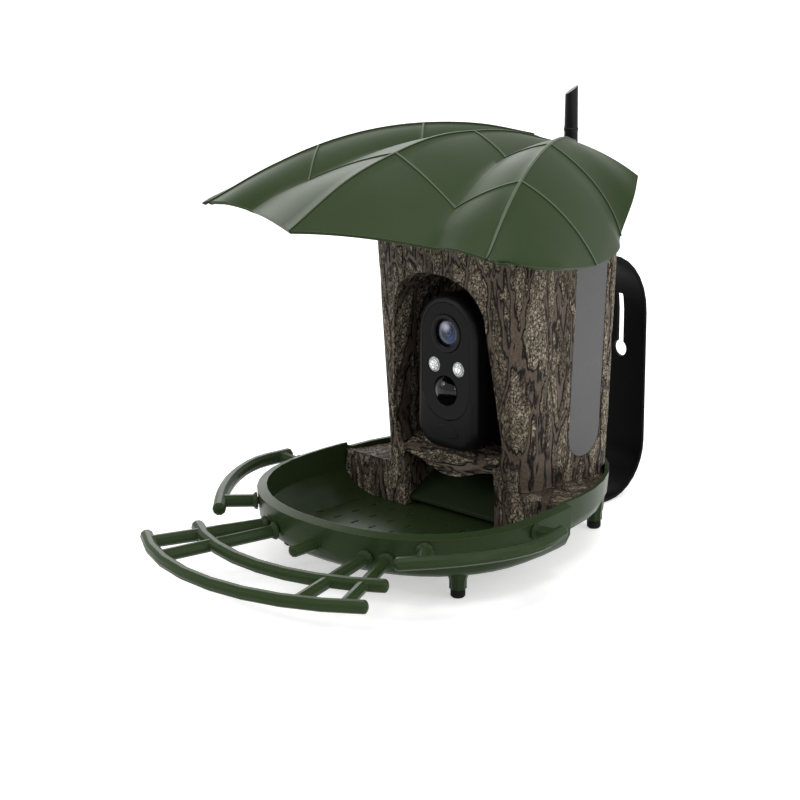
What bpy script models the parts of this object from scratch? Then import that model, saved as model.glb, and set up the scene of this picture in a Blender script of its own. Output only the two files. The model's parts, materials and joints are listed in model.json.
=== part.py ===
"""Smart bird feeder: a bark hopper with a camera niche and a hinged leaf roof, on a round tray with perches.

Metres, +Z up. The front faces -Y and the right side is +X. Heights are measured from a datum just above
the ground, and depths from a line near the tray's middle. Every object hangs under one empty, which puts
the ground at zero and the middle of the whole depth at the world's origin.
"""
import math

import bmesh
import bpy
from mathutils import Matrix, Vector
from mathutils.bvhtree import BVHTree

MM = 0.001

# Fits and cuts
CLEARANCE = 0.3 * MM
LOOSE = 0.4 * MM
OVERRUN = 6 * MM
BURY = 1.2 * MM
FLATNESS = 0.0005 * MM

# Ground and tray
GROUND = -1.5 * MM
TRAY_HALF_WIDTH = 109 * MM
TRAY_FRONT_REACH = 96 * MM
TRAY_SIDE_REACH = 146 * MM
TRAY_WIDEST_Y = -45 * MM
TRAY_POWER = 2.2
TRAY_STEP_Y = -7 * MM
STEP_SLANT = 0.15 * MM
BACK_HALF_WIDTH = 98.4 * MM
BACK_REACH = 121 * MM
BACK_POWER = 1.95
RIM_FRONT_HEIGHT = 43.7 * MM
RIM_RISE = 4 * MM
RIM_WIDTH = 6.5 * MM
RIM_FALL = 2 * MM
BACK_RIM_HEIGHT = 47.8 * MM
BACK_RIM_WIDTH = 3 * MM
WALL_DRAFT = 1 * MM
FLOOR_HEIGHT = 16.7 * MM
FLOOR_THICKNESS = 2 * MM
COVE_WIDTH = 26 * MM
COVE_HEIGHT = 13.8 * MM
UNDER_WIDTH = 18 * MM
UNDER_HEIGHT = 13.3 * MM
COVE_SHARES = ((0, 1), (0.18, 0.63), (0.48, 0.24), (1, 0))
UNDER_SHARES = ((1, 0), (0.6, 0.12), (0.28, 0.44), (0.08, 1))
BACK_UNDER_WIDTH = 22 * MM
BACK_UNDER_HEIGHT = 18.3 * MM
BACK_UNDER_SHARES = ((1, 0), (0.59, 0.29), (0.24, 0.58), (0.06, 1))
SLOT_LENGTH = 7.5 * MM
SLOT_WIDTH = 1.8 * MM
SLOT_PITCH_X = 16.5 * MM
SLOT_PITCH_Y = 18 * MM
SLOT_FIRST_Y = -24 * MM
SLOT_COLUMNS = 10
SLOT_ROWS = 4
SLOT_MARGIN = 30 * MM
FRONT_FOOT_INSET = 32 * MM
REAR_FOOT_INSET = 58.5 * MM
FOOT_PLACES = {
    "front": (TRAY_HALF_WIDTH - FRONT_FOOT_INSET, -86 * MM),
    "rear": (TRAY_HALF_WIDTH - REAR_FOOT_INSET, 84.6 * MM),
}
FOOT_RADIUS = 5.75 * MM
FOOT_FLUTE = 0.7 * MM
FOOT_FLUTES = 8
FOOT_FLARE = 2.2 * MM
FOOT_BOTTOM = 4.5 * MM
TIP_RADIUS = 4.9 * MM
TIP_ROUND = 1.2 * MM
TIP_SPIGOT_RADIUS = 2.6 * MM
TIP_SPIGOT_LENGTH = 5 * MM
PEG_RADIUS = 4.3 * MM
PEG_LENGTH = 18 * MM
PEG_HEIGHT = 30 * MM
PEG_ROOT = 4 * MM

# Perches
ROD_RADIUS = 4.6 * MM
LEG_RADIUS = 4.3 * MM
COLLAR_RADIUS = 5.9 * MM
COLLAR_LENGTH = 1.8 * MM
SPIGOT_RADIUS = 2.6 * MM
SPIGOT_DEPTH = 4 * MM
OUTER_BAR_END = (99.6 * MM, -196.7 * MM, 26.5 * MM)
OUTER_BAR_FRONT = (0, -232.4 * MM, 26.5 * MM)
INNER_BAR_END = (85.6 * MM, -163.8 * MM, 28.2 * MM)
INNER_BAR_FRONT = (0, -191 * MM, 27.8 * MM)
OUTER_LEG = ((50 * MM, -119 * MM, 29 * MM), (89.3 * MM, -204.5 * MM, 26.5 * MM))
INNER_LEG = ((37.5 * MM, -121 * MM, 29 * MM), (62.4 * MM, -219.3 * MM, 26.5 * MM))
SIDE_BAR = (
    (81.8 * MM, -147.9 * MM, 37.6 * MM),
    (103.5 * MM, -123.5 * MM, 38.8 * MM),
    (121.5 * MM, -95 * MM, 40.2 * MM),
    (129.5 * MM, -67 * MM, 41.6 * MM),
    (125.3 * MM, -40.2 * MM, 42.6 * MM),
)
SIDE_FRONT_POST = ((92 * MM, -136 * MM, 38.2 * MM), (72 * MM, -112 * MM, 37.4 * MM))
SIDE_BACK_POST = ((128 * MM, -46 * MM, 42 * MM), (104 * MM, -46 * MM, 40.6 * MM))

# Height of the roof's eaves, which the housing, its windows, the hinge, the antenna and the strap follow
ROOF_EAVES = 213 * MM

# Housing
WALL = 3 * MM
BODY_BOTTOM = 46 * MM
BODY_ABOVE_EAVES = 23 * MM
BODY_TOP = ROOF_EAVES + BODY_ABOVE_EAVES
BODY_HALF_WIDTH = 64 * MM
BODY_TOP_HALF_WIDTH = 72 * MM
BODY_FRONT_Y = -10.2 * MM
BODY_TOP_FRONT_Y = -28.4 * MM
BODY_BACK_Y = 93.4 * MM
BODY_CROWN = 1.5 * MM
FRONT_RADIUS = 18 * MM
TOP_FRONT_RADIUS = 34 * MM
REAR_RADIUS = 22 * MM
SKIRT_TOP = 43.8 * MM
SKIRT_RISE = 2.4 * MM
SKIRT_RUN = 60 * MM
SKIRT_THICKNESS = 3 * MM
HOPPER_FLOOR = 50.8 * MM
FASCIA_HALF_WIDTH = 98.2 * MM
LEG_INNER = 41 * MM
THROAT_TOP = 57 * MM
THROAT_BACK_Y = 88 * MM
POST_LIFT = 3.5 * MM
POST_FOOT = FLOOR_HEIGHT + POST_LIFT
POST_RADIUS = 4 * MM
POST_PLACES = ((60 * MM, 12 * MM), (50 * MM, 54 * MM))

# Niche, shelf and ramp
NICHE_FOOT = 60.9 * MM
NICHE_BACK_Y = 38 * MM
ARCH_FOOT_HALF = 45.5 * MM
ARCH_WIDE_HALF = 49.5 * MM
ARCH_WIDE_Z = 80 * MM
ARCH_SPRING_HALF = 41.5 * MM
ARCH_SPRING_Z = 155 * MM
ARCH_TOP_Z = 190.5 * MM
ARCH_POWER = 2.3
SHELF_THICKNESS = 4.5 * MM
SHELF_BREAK_Y = 2 * MM
SHELF_EDGE_HEIGHT = 61 * MM
RAIL_X = 9 * MM
RAIL_WIDTH = 4 * MM
RAIL_HEIGHT = 1 * MM
SHELF_WAVE = 9.5 * MM
RAMP_THICKNESS = 2.5 * MM
RAMP_FRONT_Y = -6 * MM
RAMP_WIDE_Y = 51 * MM
RAMP_SLOPE_SHARE = 0.53

# Windows
WINDOW_FRONT_Y = 38 * MM
WINDOW_BACK_Y = 70.4 * MM
WINDOW_BOTTOM = 60 * MM
WINDOW_DROP = 14 * MM
WINDOW_TOP = BODY_TOP - WINDOW_DROP
PANE_THICKNESS = 2.4 * MM
PANE_RECESS = 0.4 * MM

# Roof
ROOF_THICKNESS = 2.4 * MM
ROOF_BACK_Y = 95 * MM
ROOF_TIP_Y = -160 * MM
ROOF_HALF_SPAN = 145 * MM
ROOF_RISE = 70 * MM
RIB_HEIGHT = 1 * MM
RIB_HALF_WIDTH = 1.5 * MM
VEIN_HEIGHT = 0.8 * MM
VEIN_HALF_WIDTH = 1.1 * MM
LOBE_BULGE = 3.5 * MM
LOBE_CROWN = 3.5 * MM
FLANK_BULGE = 9 * MM

# Each curve of the roof runs from the back edge to the front edge. A row is the share of the way along,
# then shares of the half span, of the length from the back edge to the tip, and of the rise over the eaves.
MIDRIB_SHARES = (
    (0, 0, 0, 0.714), (0.165, 0, 0.17, 0.895), (0.333, 0, 0.322, 0.972), (0.5, 0, 0.47, 0.991),
    (0.667, 0, 0.62, 0.914), (0.83, 0, 0.8, 0.742), (1, 0, 1, 0.4),
)
VALLEY_SHARES = (
    (0, 0.062, 0, 0.729), (0.165, 0.157, 0.19, 0.81), (0.333, 0.258, 0.365, 0.81),
    (0.5, 0.357, 0.525, 0.735), (0.667, 0.448, 0.676, 0.556), (0.83, 0.51, 0.76, 0.45),
    (1, 0.563, 0.821, 0.322),
)
SIDE_RIB_SHARES = (
    (0, 0.128, 0, 0.757), (0.165, 0.255, 0.135, 0.886), (0.333, 0.388, 0.277, 0.93),
    (0.5, 0.507, 0.41, 0.895), (0.667, 0.618, 0.542, 0.783), (0.83, 0.735, 0.68, 0.58),
    (1, 0.852, 0.815, 0.31),
)
EDGE_SHARES = (
    (0, 0.514, 0, 0.52), (0.165, 0.6, 0.08, 0.36), (0.333, 0.642, 0.16, 0.07), (0.44, 0.724, 0.221, 0.003),
    (0.55, 0.807, 0.318, 0), (0.667, 0.891, 0.431, 0.029), (0.78, 0.962, 0.549, 0.1),
    (0.88, 1, 0.647, 0.171), (0.95, 0.982, 0.74, 0.235), (1, 0.9, 0.798, 0.29),
)
FLANK_SHARES = ((0, 0.2, 0.2), (0.333, 1, 0.4), (0.667, 0.6, 0.5), (1, 0.05, 0.1))
VEIN_SHARES = (0.333, 0.667)
VEIN_FOOT_SHARE = 1.2
ROOF_ROWS = 14
LOBE_COLUMNS = 3
FLANK_COLUMNS = 5

# Roof hinge
HINGE_Y = 90 * MM
HINGE_LIFT = 16 * MM
HINGE_Z = BODY_TOP + HINGE_LIFT
KNUCKLE_RADIUS = 4 * MM
PIN_RADIUS = 1.5 * MM
PIN_HALF_LENGTH = 46 * MM
HOUSING_KNUCKLE = (36 * MM, 44 * MM)
ROOF_KNUCKLE = (27 * MM, 35.6 * MM)
EAR_FRONT_Y = 87 * MM
EAR_DROP = 10 * MM
EAR_FOOT = BODY_TOP - EAR_DROP
REST_X = 40 * MM
REST_THICKNESS = 3 * MM
REST_FRONT_Y = -30 * MM
REST_BACK_Y = -21 * MM

# Camera
CAMERA_FRONT_Y = -14 * MM
CAMERA_SPLIT_Y = -2 * MM
CAMERA_BACK_Y = 22 * MM
CAMERA_HALF_WIDTH = 27 * MM
CAMERA_BOTTOM = 66 * MM
CAMERA_TOP = 174.5 * MM
CAMERA_FOOT_RADIUS = 17 * MM
CAMERA_EDGE = 5 * MM
CAMERA_WALL = 2 * MM
REAR_SHELL_INSET = 1 * MM
REAR_EDGE = 4 * MM
PANEL_HALF_WIDTH = 21.5 * MM
PANEL_BOTTOM = 87 * MM
PANEL_TOP = 169 * MM
PANEL_THICKNESS = 1.6 * MM
LENS_Z = 147.6 * MM
LENS_RING_RADIUS = 13.2 * MM
LENS_RING_PROUD = 0.8 * MM
LENS_RING_DEPTH = 7 * MM
LENS_GLASS_RADIUS = 9.25 * MM
LENS_GLASS_DEPTH = 3 * MM
LENS_BARREL_RADIUS = 7 * MM
LAMP_X = 10.9 * MM
LAMP_Z = 124.3 * MM
LAMP_RADIUS = 5.4 * MM
LAMP_PROUD = 0.9 * MM
LAMP_DEPTH = 4 * MM
SENSOR_Z = 107.8 * MM
SENSOR_RADIUS = 10.2 * MM
SENSOR_DOME = 4.8 * MM
SENSOR_DEPTH = 3.6 * MM
SENSOR_WALL = 1.2 * MM
ELEMENT_RADIUS = 4.5 * MM
ELEMENT_LENGTH = 3.5 * MM
BADGE_Z = 79 * MM
BADGE_HALF_WIDTH = 11.5 * MM
BADGE_HALF_HEIGHT = 4.4 * MM
BADGE_PROUD = 0.4 * MM
BOARD_HALF_WIDTH = 20 * MM
BOARD_BOTTOM = 76 * MM
BOARD_TOP = 158 * MM
BOARD_THICKNESS = 1.6 * MM
BOARD_FRONT_Y = -3.6 * MM
BATTERY_RADIUS = 9.2 * MM
BATTERY_BOTTOM = 76 * MM
BATTERY_TOP = 141 * MM
BUTTON_RADIUS = 3.5 * MM
BUTTON_PROUD = 1.5 * MM
BUTTON_TRAVEL = 0.8 * MM
BUTTON_Z = 132 * MM
PORT_HALF_WIDTH = 9 * MM
PORT_BOTTOM = 96 * MM
PORT_TOP = 107 * MM
COVER_THICKNESS = 1.8 * MM
COVER_LAP = 2 * MM

# Antenna
ANTENNA_Y = 113.4 * MM
ANTENNA_ABOVE_EAVES = 12 * MM
ANTENNA_Z = ROOF_EAVES + ANTENNA_ABOVE_EAVES
ANTENNA_LENGTH = 75 * MM
ANTENNA_TIP = ANTENNA_Z + ANTENNA_LENGTH
ANTENNA_ROOT_RADIUS = 5.2 * MM
ANTENNA_TIP_RADIUS = 4.4 * MM
ANTENNA_CUT = 6.3 * MM
ANTENNA_CUT_HEADING = math.radians(223)
ANTENNA_RING_LIFT = 44.4 * MM
ANTENNA_RING_Z = ANTENNA_Z + ANTENNA_RING_LIFT
ANTENNA_RING = 0.35 * MM
FLANGE_RADIUS = 8 * MM
FLANGE_THICKNESS = 2.5 * MM
NECK_RADIUS = 3 * MM
NUT_RADIUS = 6 * MM
NUT_THICKNESS = 3 * MM
SPINDLE_LENGTH = 3.5 * MM
SWIVEL_RADIUS = 6 * MM
CHEEK_RADIUS = 5.4 * MM
CHEEK_INNER = 3.3 * MM
CHEEK_OUTER = 5.6 * MM
EYE_RADIUS = 4.6 * MM
FOLD_PIN_RADIUS = 1.2 * MM

# Wall strap
STRAP_HALF_WIDTH = 22 * MM
STRAP_THICKNESS = 3 * MM
STRAP_CHAMFER = 0.5 * MM
STRAP_REAR_Y = 175.5 * MM
STRAP_DROP = 32 * MM
STRAP_TOP = ROOF_EAVES - STRAP_DROP
STRAP_HIGH_BEND = 50 * MM
STRAP_LOW_BEND = 38 * MM
STRAP_LIFT = 0.8 * MM
TAB_LENGTH = 33 * MM
TAB_BOTTOM = STRAP_TOP - TAB_LENGTH
TAB_BEND = 5 * MM
ARM_FRONT_Y = 60 * MM
KEYHOLE_DROP = 79 * MM
KEYHOLE_Z = STRAP_TOP - KEYHOLE_DROP
KEYHOLE_RADIUS = 5.9 * MM
KEYHOLE_SLOT = 3 * MM
KEYHOLE_TOP_DROP = 38 * MM
KEYHOLE_TOP = STRAP_TOP - KEYHOLE_TOP_DROP
SCREW_X = 12 * MM
TAB_SCREW_DROP = 21 * MM
TAB_SCREW_Z = STRAP_TOP - TAB_SCREW_DROP
ARM_SCREW_Y = 74 * MM
STRAP_BOSS_RADIUS = 6 * MM
BOSS_LENGTH = 7 * MM

# Screws
SHANK_RADIUS = 1.5 * MM
HEAD_RADIUS = 3.2 * MM
HEAD_HEIGHT = 2 * MM
SINK_RADIUS = 3.4 * MM
TAB_SCREW_LENGTH = 11 * MM
ARM_SCREW_LENGTH = 12 * MM
BASE_SCREW_LENGTH = 14 * MM

# Facets
ROUND_SIDES = 16
ROD_SIDES = 10
BAR_STEPS = 8
CORNER_STEPS = 7
FRONT_STEPS = 11
BACK_STEPS = 9
DOME_SHARE = 0.6
SHOULDER_SHARE = 0.6
MITRE_SHARE = 0.5

# Colour, roughness and metallic value of each finish
FINISHES = {
    "green": ((0.035, 0.062, 0.022), 0.35, 0),
    "roof_green": ((0.035, 0.058, 0.024), 0.38, 0),
    "bark": ((0.13, 0.1, 0.075), 0.85, 0),
    "black": ((0.012, 0.012, 0.013), 0.4, 0),
    "gloss_black": ((0.008, 0.008, 0.009), 0.08, 0),
    "rubber": ((0.015, 0.015, 0.015), 0.8, 0),
    "steel": ((0.5, 0.5, 0.5), 0.3, 1),
    "strap": ((0.006, 0.006, 0.006), 0.3, 0),
    "pane": ((0.2, 0.2, 0.2), 0.3, 0),
    "lamp": ((0.85, 0.85, 0.82), 0.3, 0),
    "glass": ((0.05, 0.05, 0.07), 0.05, 0),
    "board": ((0.01, 0.08, 0.03), 0.5, 0),
    "battery": ((0.02, 0.08, 0.2), 0.4, 0),
}

# Level of the strap's lower arm, and the shift that centres the whole object
ARM_BOTTOM = GROUND + STRAP_LIFT
DEPTH_FRONT = OUTER_BAR_FRONT[1] - ROD_RADIUS
CENTRE = Vector((0, -(DEPTH_FRONT + STRAP_REAR_Y) / 2, -GROUND))


def clear_scene():
    """Remove every object of the scene."""
    for item in list(bpy.data.objects):
        bpy.data.objects.remove(item, do_unlink=True)


def finish(name):
    """Return the material of a finish, made on first use."""
    material = bpy.data.materials.get(name)
    if material is None:
        colour, roughness, metallic = FINISHES[name]
        material = bpy.data.materials.new(name)
        material.use_nodes = True
        shader = material.node_tree.nodes["Principled BSDF"]
        shader.inputs["Base Color"].default_value = (*colour, 1)
        shader.inputs["Roughness"].default_value = roughness
        shader.inputs["Metallic"].default_value = metallic
    return material


def split_bent_faces(shape):
    """Split the faces that are not flat into triangles."""
    bent = []
    for face in shape.faces:
        middle = face.calc_center_median()
        if max(abs((vertex.co - middle).dot(face.normal)) for vertex in face.verts) > FLATNESS:
            bent.append(face)
    bmesh.ops.triangulate(shape, faces=bent)


def place(name, shape, parent, pivot=(0, 0, 0)):
    """Turn a shape into an object whose origin is its pivot, both measured in the feeder's frame."""
    pivot = Vector(pivot)
    bmesh.ops.translate(shape, verts=shape.verts, vec=-pivot)
    bmesh.ops.recalc_face_normals(shape, faces=shape.faces)
    split_bent_faces(shape)
    mesh = bpy.data.meshes.new(name)
    shape.to_mesh(mesh)
    shape.free()
    mesh.shade_smooth()
    mesh.set_sharp_from_angle(angle=math.radians(35))
    item = bpy.data.objects.new(name, mesh)
    bpy.context.collection.objects.link(item)
    item.parent = parent
    item.location = pivot
    return item


def add_part(name, shape, look, pivot=(0, 0, 0)):
    """Add one sub-part of the feeder with its finish."""
    item = place(name, shape, bpy.data.objects["feeder"], pivot)
    item.data.materials.append(finish(look))
    return item


def add_guide(name, shape):
    """Add a cutter or another helper shape, which is drawn as wire and never rendered."""
    item = place(name, shape, bpy.data.objects["feeder"])
    item.hide_render = True
    item.display_type = "WIRE"
    return item


def combine(item, operation, shape, name):
    """Join a shape to an object, or cut it away, with a live Boolean modifier."""
    guide = add_guide(name, shape)
    modifier = item.modifiers.new(name, "BOOLEAN")
    modifier.operation = operation
    modifier.solver = "EXACT"
    modifier.object = guide
    return guide


def cut(item, shape, name):
    """Cut a shape away from an object."""
    return combine(item, "DIFFERENCE", shape, "cut_" + name)


def fuse(item, shape, name):
    """Join a shape to an object."""
    return combine(item, "UNION", shape, "add_" + name)


def loft(rings, start="face", end="face"):
    """Skin rings of equally many points. An end is closed by one face or by a fan to a given point."""
    shape = bmesh.new()
    loops = [[shape.verts.new(point) for point in ring] for ring in rings]
    count = len(loops[0])
    for near, far in zip(loops, loops[1:]):
        for i in range(count):
            j = (i + 1) % count
            shape.faces.new((near[i], near[j], far[j], far[i]))
    for loop, closing in ((loops[0], start), (loops[-1], end)):
        if isinstance(closing, str):
            shape.faces.new(loop)
        else:
            pole = shape.verts.new(closing)
            for i in range(count):
                shape.faces.new((loop[i], loop[(i + 1) % count], pole))
    return shape


def merge(*shapes):
    """Gather shapes that do not touch each other into one."""
    whole = bmesh.new()
    for shape in shapes:
        copies = {vertex: whole.verts.new(vertex.co) for vertex in shape.verts}
        for face in shape.faces:
            whole.faces.new([copies[vertex] for vertex in face.verts])
        shape.free()
    return whole


def mirror(shape):
    """Return a shape's copy on the other side of the middle plane, turned right side out."""
    other = shape.copy()
    bmesh.ops.scale(other, vec=(-1, 1, 1), verts=other.verts)
    bmesh.ops.reverse_faces(other, faces=other.faces)
    return other


def both_sides(shape):
    """Return a shape together with its mirror image."""
    return merge(mirror(shape), shape)


def box(low, high):
    """Return a block between two corners."""
    return loft([
        [(low[0], low[1], z), (high[0], low[1], z), (high[0], high[1], z), (low[0], high[1], z)]
        for z in (low[2], high[2])
    ])


def prism_along_y(outline, front, back):
    """Extrude an outline of (x, z) points along Y."""
    return loft([[(x, y, z) for x, z in outline] for y in (front, back)])


def turned(profile, centre, axis, sides=ROUND_SIDES):
    """Turn a profile of (radius, distance along the axis), whose ends may lie on the axis."""
    centre = Vector(centre)
    axis = Vector(axis).normalized()
    side = axis.orthogonal().normalized()
    other = axis.cross(side)
    ends = []
    for radius, along in (profile[0], profile[-1]):
        ends.append(centre + axis * along if radius == 0 else "face")
    rings = []
    for radius, along in profile:
        if radius > 0:
            ring = []
            for i in range(sides):
                turn = math.tau * i / sides
                spoke = side * math.cos(turn) + other * math.sin(turn)
                ring.append(centre + axis * along + spoke * radius)
            rings.append(ring)
    return loft(rings, ends[0], ends[1])


def hollow_turned(profile, centre, axis, sides=ROUND_SIDES):
    """Turn a closed profile that nowhere meets the axis into a ring."""
    centre = Vector(centre)
    axis = Vector(axis).normalized()
    side = axis.orthogonal().normalized()
    other = axis.cross(side)
    shape = bmesh.new()
    loops = []
    for i in range(sides):
        turn = math.tau * i / sides
        spoke = side * math.cos(turn) + other * math.sin(turn)
        loops.append([shape.verts.new(centre + axis * along + spoke * radius) for radius, along in profile])
    count = len(profile)
    for i in range(sides):
        near = loops[i]
        far = loops[(i + 1) % sides]
        for j in range(count):
            k = (j + 1) % count
            shape.faces.new((near[j], near[k], far[k], far[j]))
    return shape


def cylinder(centre, axis, radius, start, end, sides=ROUND_SIDES):
    """Return a round bar from one distance to another along an axis."""
    return turned([(radius, start), (radius, end)], centre, axis, sides)


def rod(path, radius, sides=ROD_SIDES, round_ends=True):
    """Sweep a round section along a path, with domed ends where asked."""
    points = [Vector(point) for point in path]
    tangents = []
    for i in range(len(points)):
        before = points[max(i - 1, 0)]
        after = points[min(i + 1, len(points) - 1)]
        tangents.append((after - before).normalized())
    side = tangents[0].orthogonal().normalized()
    frames = []
    for point, tangent in zip(points, tangents):
        side = (side - tangent * side.dot(tangent)).normalized()
        frames.append((point, tangent, side.copy()))
    stations = [(point, tangent, across, radius) for point, tangent, across in frames]
    ends = ["face", "face"]
    if round_ends:
        dome = [math.radians(angle) for angle in (70, 45, 20)]
        for index, sign in ((0, -1), (-1, 1)):
            point, tangent, across = frames[index]
            ends[index] = point + tangent * sign * radius * DOME_SHARE
            caps = [
                (point + tangent * sign * radius * DOME_SHARE * math.sin(a), tangent, across,
                 radius * math.cos(a))
                for a in dome
            ]
            if sign < 0:
                stations = caps + stations
            else:
                stations = stations + caps[::-1]
    rings = []
    for point, tangent, across, size in stations:
        other = tangent.cross(across)
        rings.append([
            point + (across * math.cos(math.tau * i / sides) + other * math.sin(math.tau * i / sides)) * size
            for i in range(sides)
        ])
    return loft(rings, ends[0], ends[1])


def smooth_path(points, steps):
    """Return a smooth curve through points, with the same number of steps in each stretch."""
    points = [Vector(point) for point in points]
    padded = [points[0] * 2 - points[1]] + points + [points[-1] * 2 - points[-2]]
    path = []
    for i in range(1, len(padded) - 2):
        a, b, c, d = padded[i - 1:i + 3]
        for step in range(steps):
            t = step / steps
            path.append((b * 2 + (c - a) * t + (a * 2 - b * 5 + c * 4 - d) * t * t
                         + (b * 3 - a - c * 3 + d) * t * t * t) / 2)
    path.append(points[-1])
    return path


def curve_at(table, share):
    """Read a table of (share along, values...) smoothly at one share."""
    last = len(table) - 1
    i = 0
    while i < last - 1 and share > table[i + 1][0]:
        i += 1
    rows = [Vector(table[min(max(j, 0), last)][1:]) for j in (i - 1, i, i + 1, i + 2)]
    if i == 0:
        rows[0] = rows[1] * 2 - rows[2]
    if i == last - 1:
        rows[3] = rows[2] * 2 - rows[1]
    t = (share - table[i][0]) / (table[i + 1][0] - table[i][0])
    a, b, c, d = rows
    return (b * 2 + (c - a) * t + (a * 2 - b * 5 + c * 4 - d) * t * t + (b * 3 - a - c * 3 + d) * t ** 3) / 2


def bar_arc(end, front):
    """Return a symmetric arc in plan through a bar's front point and its two ends."""
    half = end[0]
    depth = end[1] - front[1]
    radius = (half * half + depth * depth) / (2 * depth)
    reach = math.asin(half / radius)
    path = []
    for step in range(BAR_STEPS + 1):
        turn = reach * (2 * step / BAR_STEPS - 1)
        share = (turn / reach) ** 2
        height = front[2] + (end[2] - front[2]) * share
        path.append((radius * math.sin(turn), front[1] + radius * (1 - math.cos(turn)), height))
    return path


def offset_loop(points, distance):
    """Move each point of a closed plane outline outwards by a distance, or inwards if it is negative."""
    count = len(points)
    area = sum(points[i - 1][0] * points[i][1] - points[i][0] * points[i - 1][1] for i in range(count))
    sign = 1 if area > 0 else -1
    moved = []
    for i, point in enumerate(points):
        before = points[i - 1]
        after = points[(i + 1) % count]
        first = Vector((point[0] - before[0], point[1] - before[1])).normalized()
        second = Vector((after[0] - point[0], after[1] - point[1])).normalized()
        normals = Vector((first.y, -first.x)) + Vector((second.y, -second.x))
        normals.normalize()
        stretch = max(normals.dot(Vector((first.y, -first.x))), MITRE_SHARE)
        moved.append((point[0] + normals.x * sign * distance / stretch,
                      point[1] + normals.y * sign * distance / stretch))
    return moved


def screw(name, point, axis, length, sunk=False):
    """Add a screw whose head's outer face is at a point, with its shank along an axis."""
    if sunk:
        slope = SINK_RADIUS - SHANK_RADIUS
        profile = [(0, 0), (SINK_RADIUS, 0), (SHANK_RADIUS, slope), (SHANK_RADIUS, length), (0, length)]
    else:
        rim = HEAD_RADIUS - HEAD_HEIGHT / 4
        profile = [(0, 0), (rim, 0), (HEAD_RADIUS, HEAD_HEIGHT / 4), (HEAD_RADIUS, HEAD_HEIGHT),
                   (SHANK_RADIUS, HEAD_HEIGHT), (SHANK_RADIUS, length), (0, length)]
    add_part(name, turned(profile, point, axis, ROD_SIDES), "steel")


def rim_height(y):
    """Height of the rim's outer edge in front of the step."""
    front = TRAY_WIDEST_Y - TRAY_FRONT_REACH
    return RIM_FRONT_HEIGHT + RIM_RISE * (y - front) / (TRAY_STEP_Y - front)


def skirt_top(y):
    """Height of the skirt's top, which falls off behind its front edge."""
    share = min(max((y - BODY_FRONT_Y) / SKIRT_RUN, 0), 1)
    return SKIRT_TOP + SKIRT_RISE * (1 - share) ** 2


def front_outline(inset):
    """Half of the tray's outline from its front point to the step, as (x, y)."""
    points = []
    wide = TRAY_HALF_WIDTH - inset
    for step in range(FRONT_STEPS + 1):
        turn = math.radians(90) * step / FRONT_STEPS
        points.append((wide * math.sin(turn) ** (2 / TRAY_POWER),
                       TRAY_WIDEST_Y - (TRAY_FRONT_REACH - inset) * math.cos(turn) ** (2 / TRAY_POWER)))
    for step in range(1, 3):
        y = TRAY_WIDEST_Y + (TRAY_STEP_Y - TRAY_WIDEST_Y) * step / 2
        share = ((y - TRAY_WIDEST_Y) / (TRAY_SIDE_REACH - inset)) ** TRAY_POWER
        points.append((wide * (1 - share) ** (1 / TRAY_POWER), y))
    return points


def back_outline(inset):
    """Half of the narrower rear outline from the step to the back point, as (x, y)."""
    points = []
    for step in range(BACK_STEPS + 1):
        turn = math.radians(90) * step / BACK_STEPS
        points.append(((BACK_HALF_WIDTH - inset) * max(math.cos(turn), 0) ** (2 / BACK_POWER),
                       TRAY_STEP_Y + (BACK_REACH - inset) * math.sin(turn) ** (2 / BACK_POWER)))
    points[-1] = (0, points[-1][1])
    return points


def tray_ring(front_inset, back_inset, front_z, back_z):
    """Return one closed ring of the tray, from insets and heights in front of the step and behind it."""
    front = front_outline(front_inset)
    back = back_outline(back_inset)
    half = [(x, y, front_z(y)) for x, y in front]
    half.append((front[-1][0], TRAY_STEP_Y + STEP_SLANT, back_z(TRAY_STEP_Y)))
    half.append((back[0][0], TRAY_STEP_Y + 2 * STEP_SLANT, back_z(TRAY_STEP_Y)))
    half += [(x, y, back_z(y)) for x, y in back[1:]]
    return half + [(-x, y, z) for x, y, z in half[-2:0:-1]]


def tray_rings():
    """Rings of the tray from its underside, round the rim, to the foot of the cove inside."""
    def level(height):
        return lambda y: height

    bottom = FLOOR_HEIGHT - FLOOR_THICKNESS
    rings = []
    for (out, up), (back_out, back_up) in zip(UNDER_SHARES, BACK_UNDER_SHARES):
        rings.append(tray_ring(UNDER_WIDTH * out, BACK_UNDER_WIDTH * back_out,
                               level(bottom + UNDER_HEIGHT * up),
                               level(bottom + BACK_UNDER_HEIGHT * back_up)))
    rings.append(tray_ring(0, 0, rim_height, level(BACK_RIM_HEIGHT)))
    rings.append(tray_ring(RIM_WIDTH, BACK_RIM_WIDTH, lambda y: rim_height(y) + RIM_FALL,
                           level(BACK_RIM_HEIGHT)))
    for out, up in COVE_SHARES:
        inset = WALL_DRAFT + COVE_WIDTH * out
        height = level(FLOOR_HEIGHT + COVE_HEIGHT * up)
        rings.append(tray_ring(RIM_WIDTH + inset, BACK_RIM_WIDTH + inset, height, height))
    return rings


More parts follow.
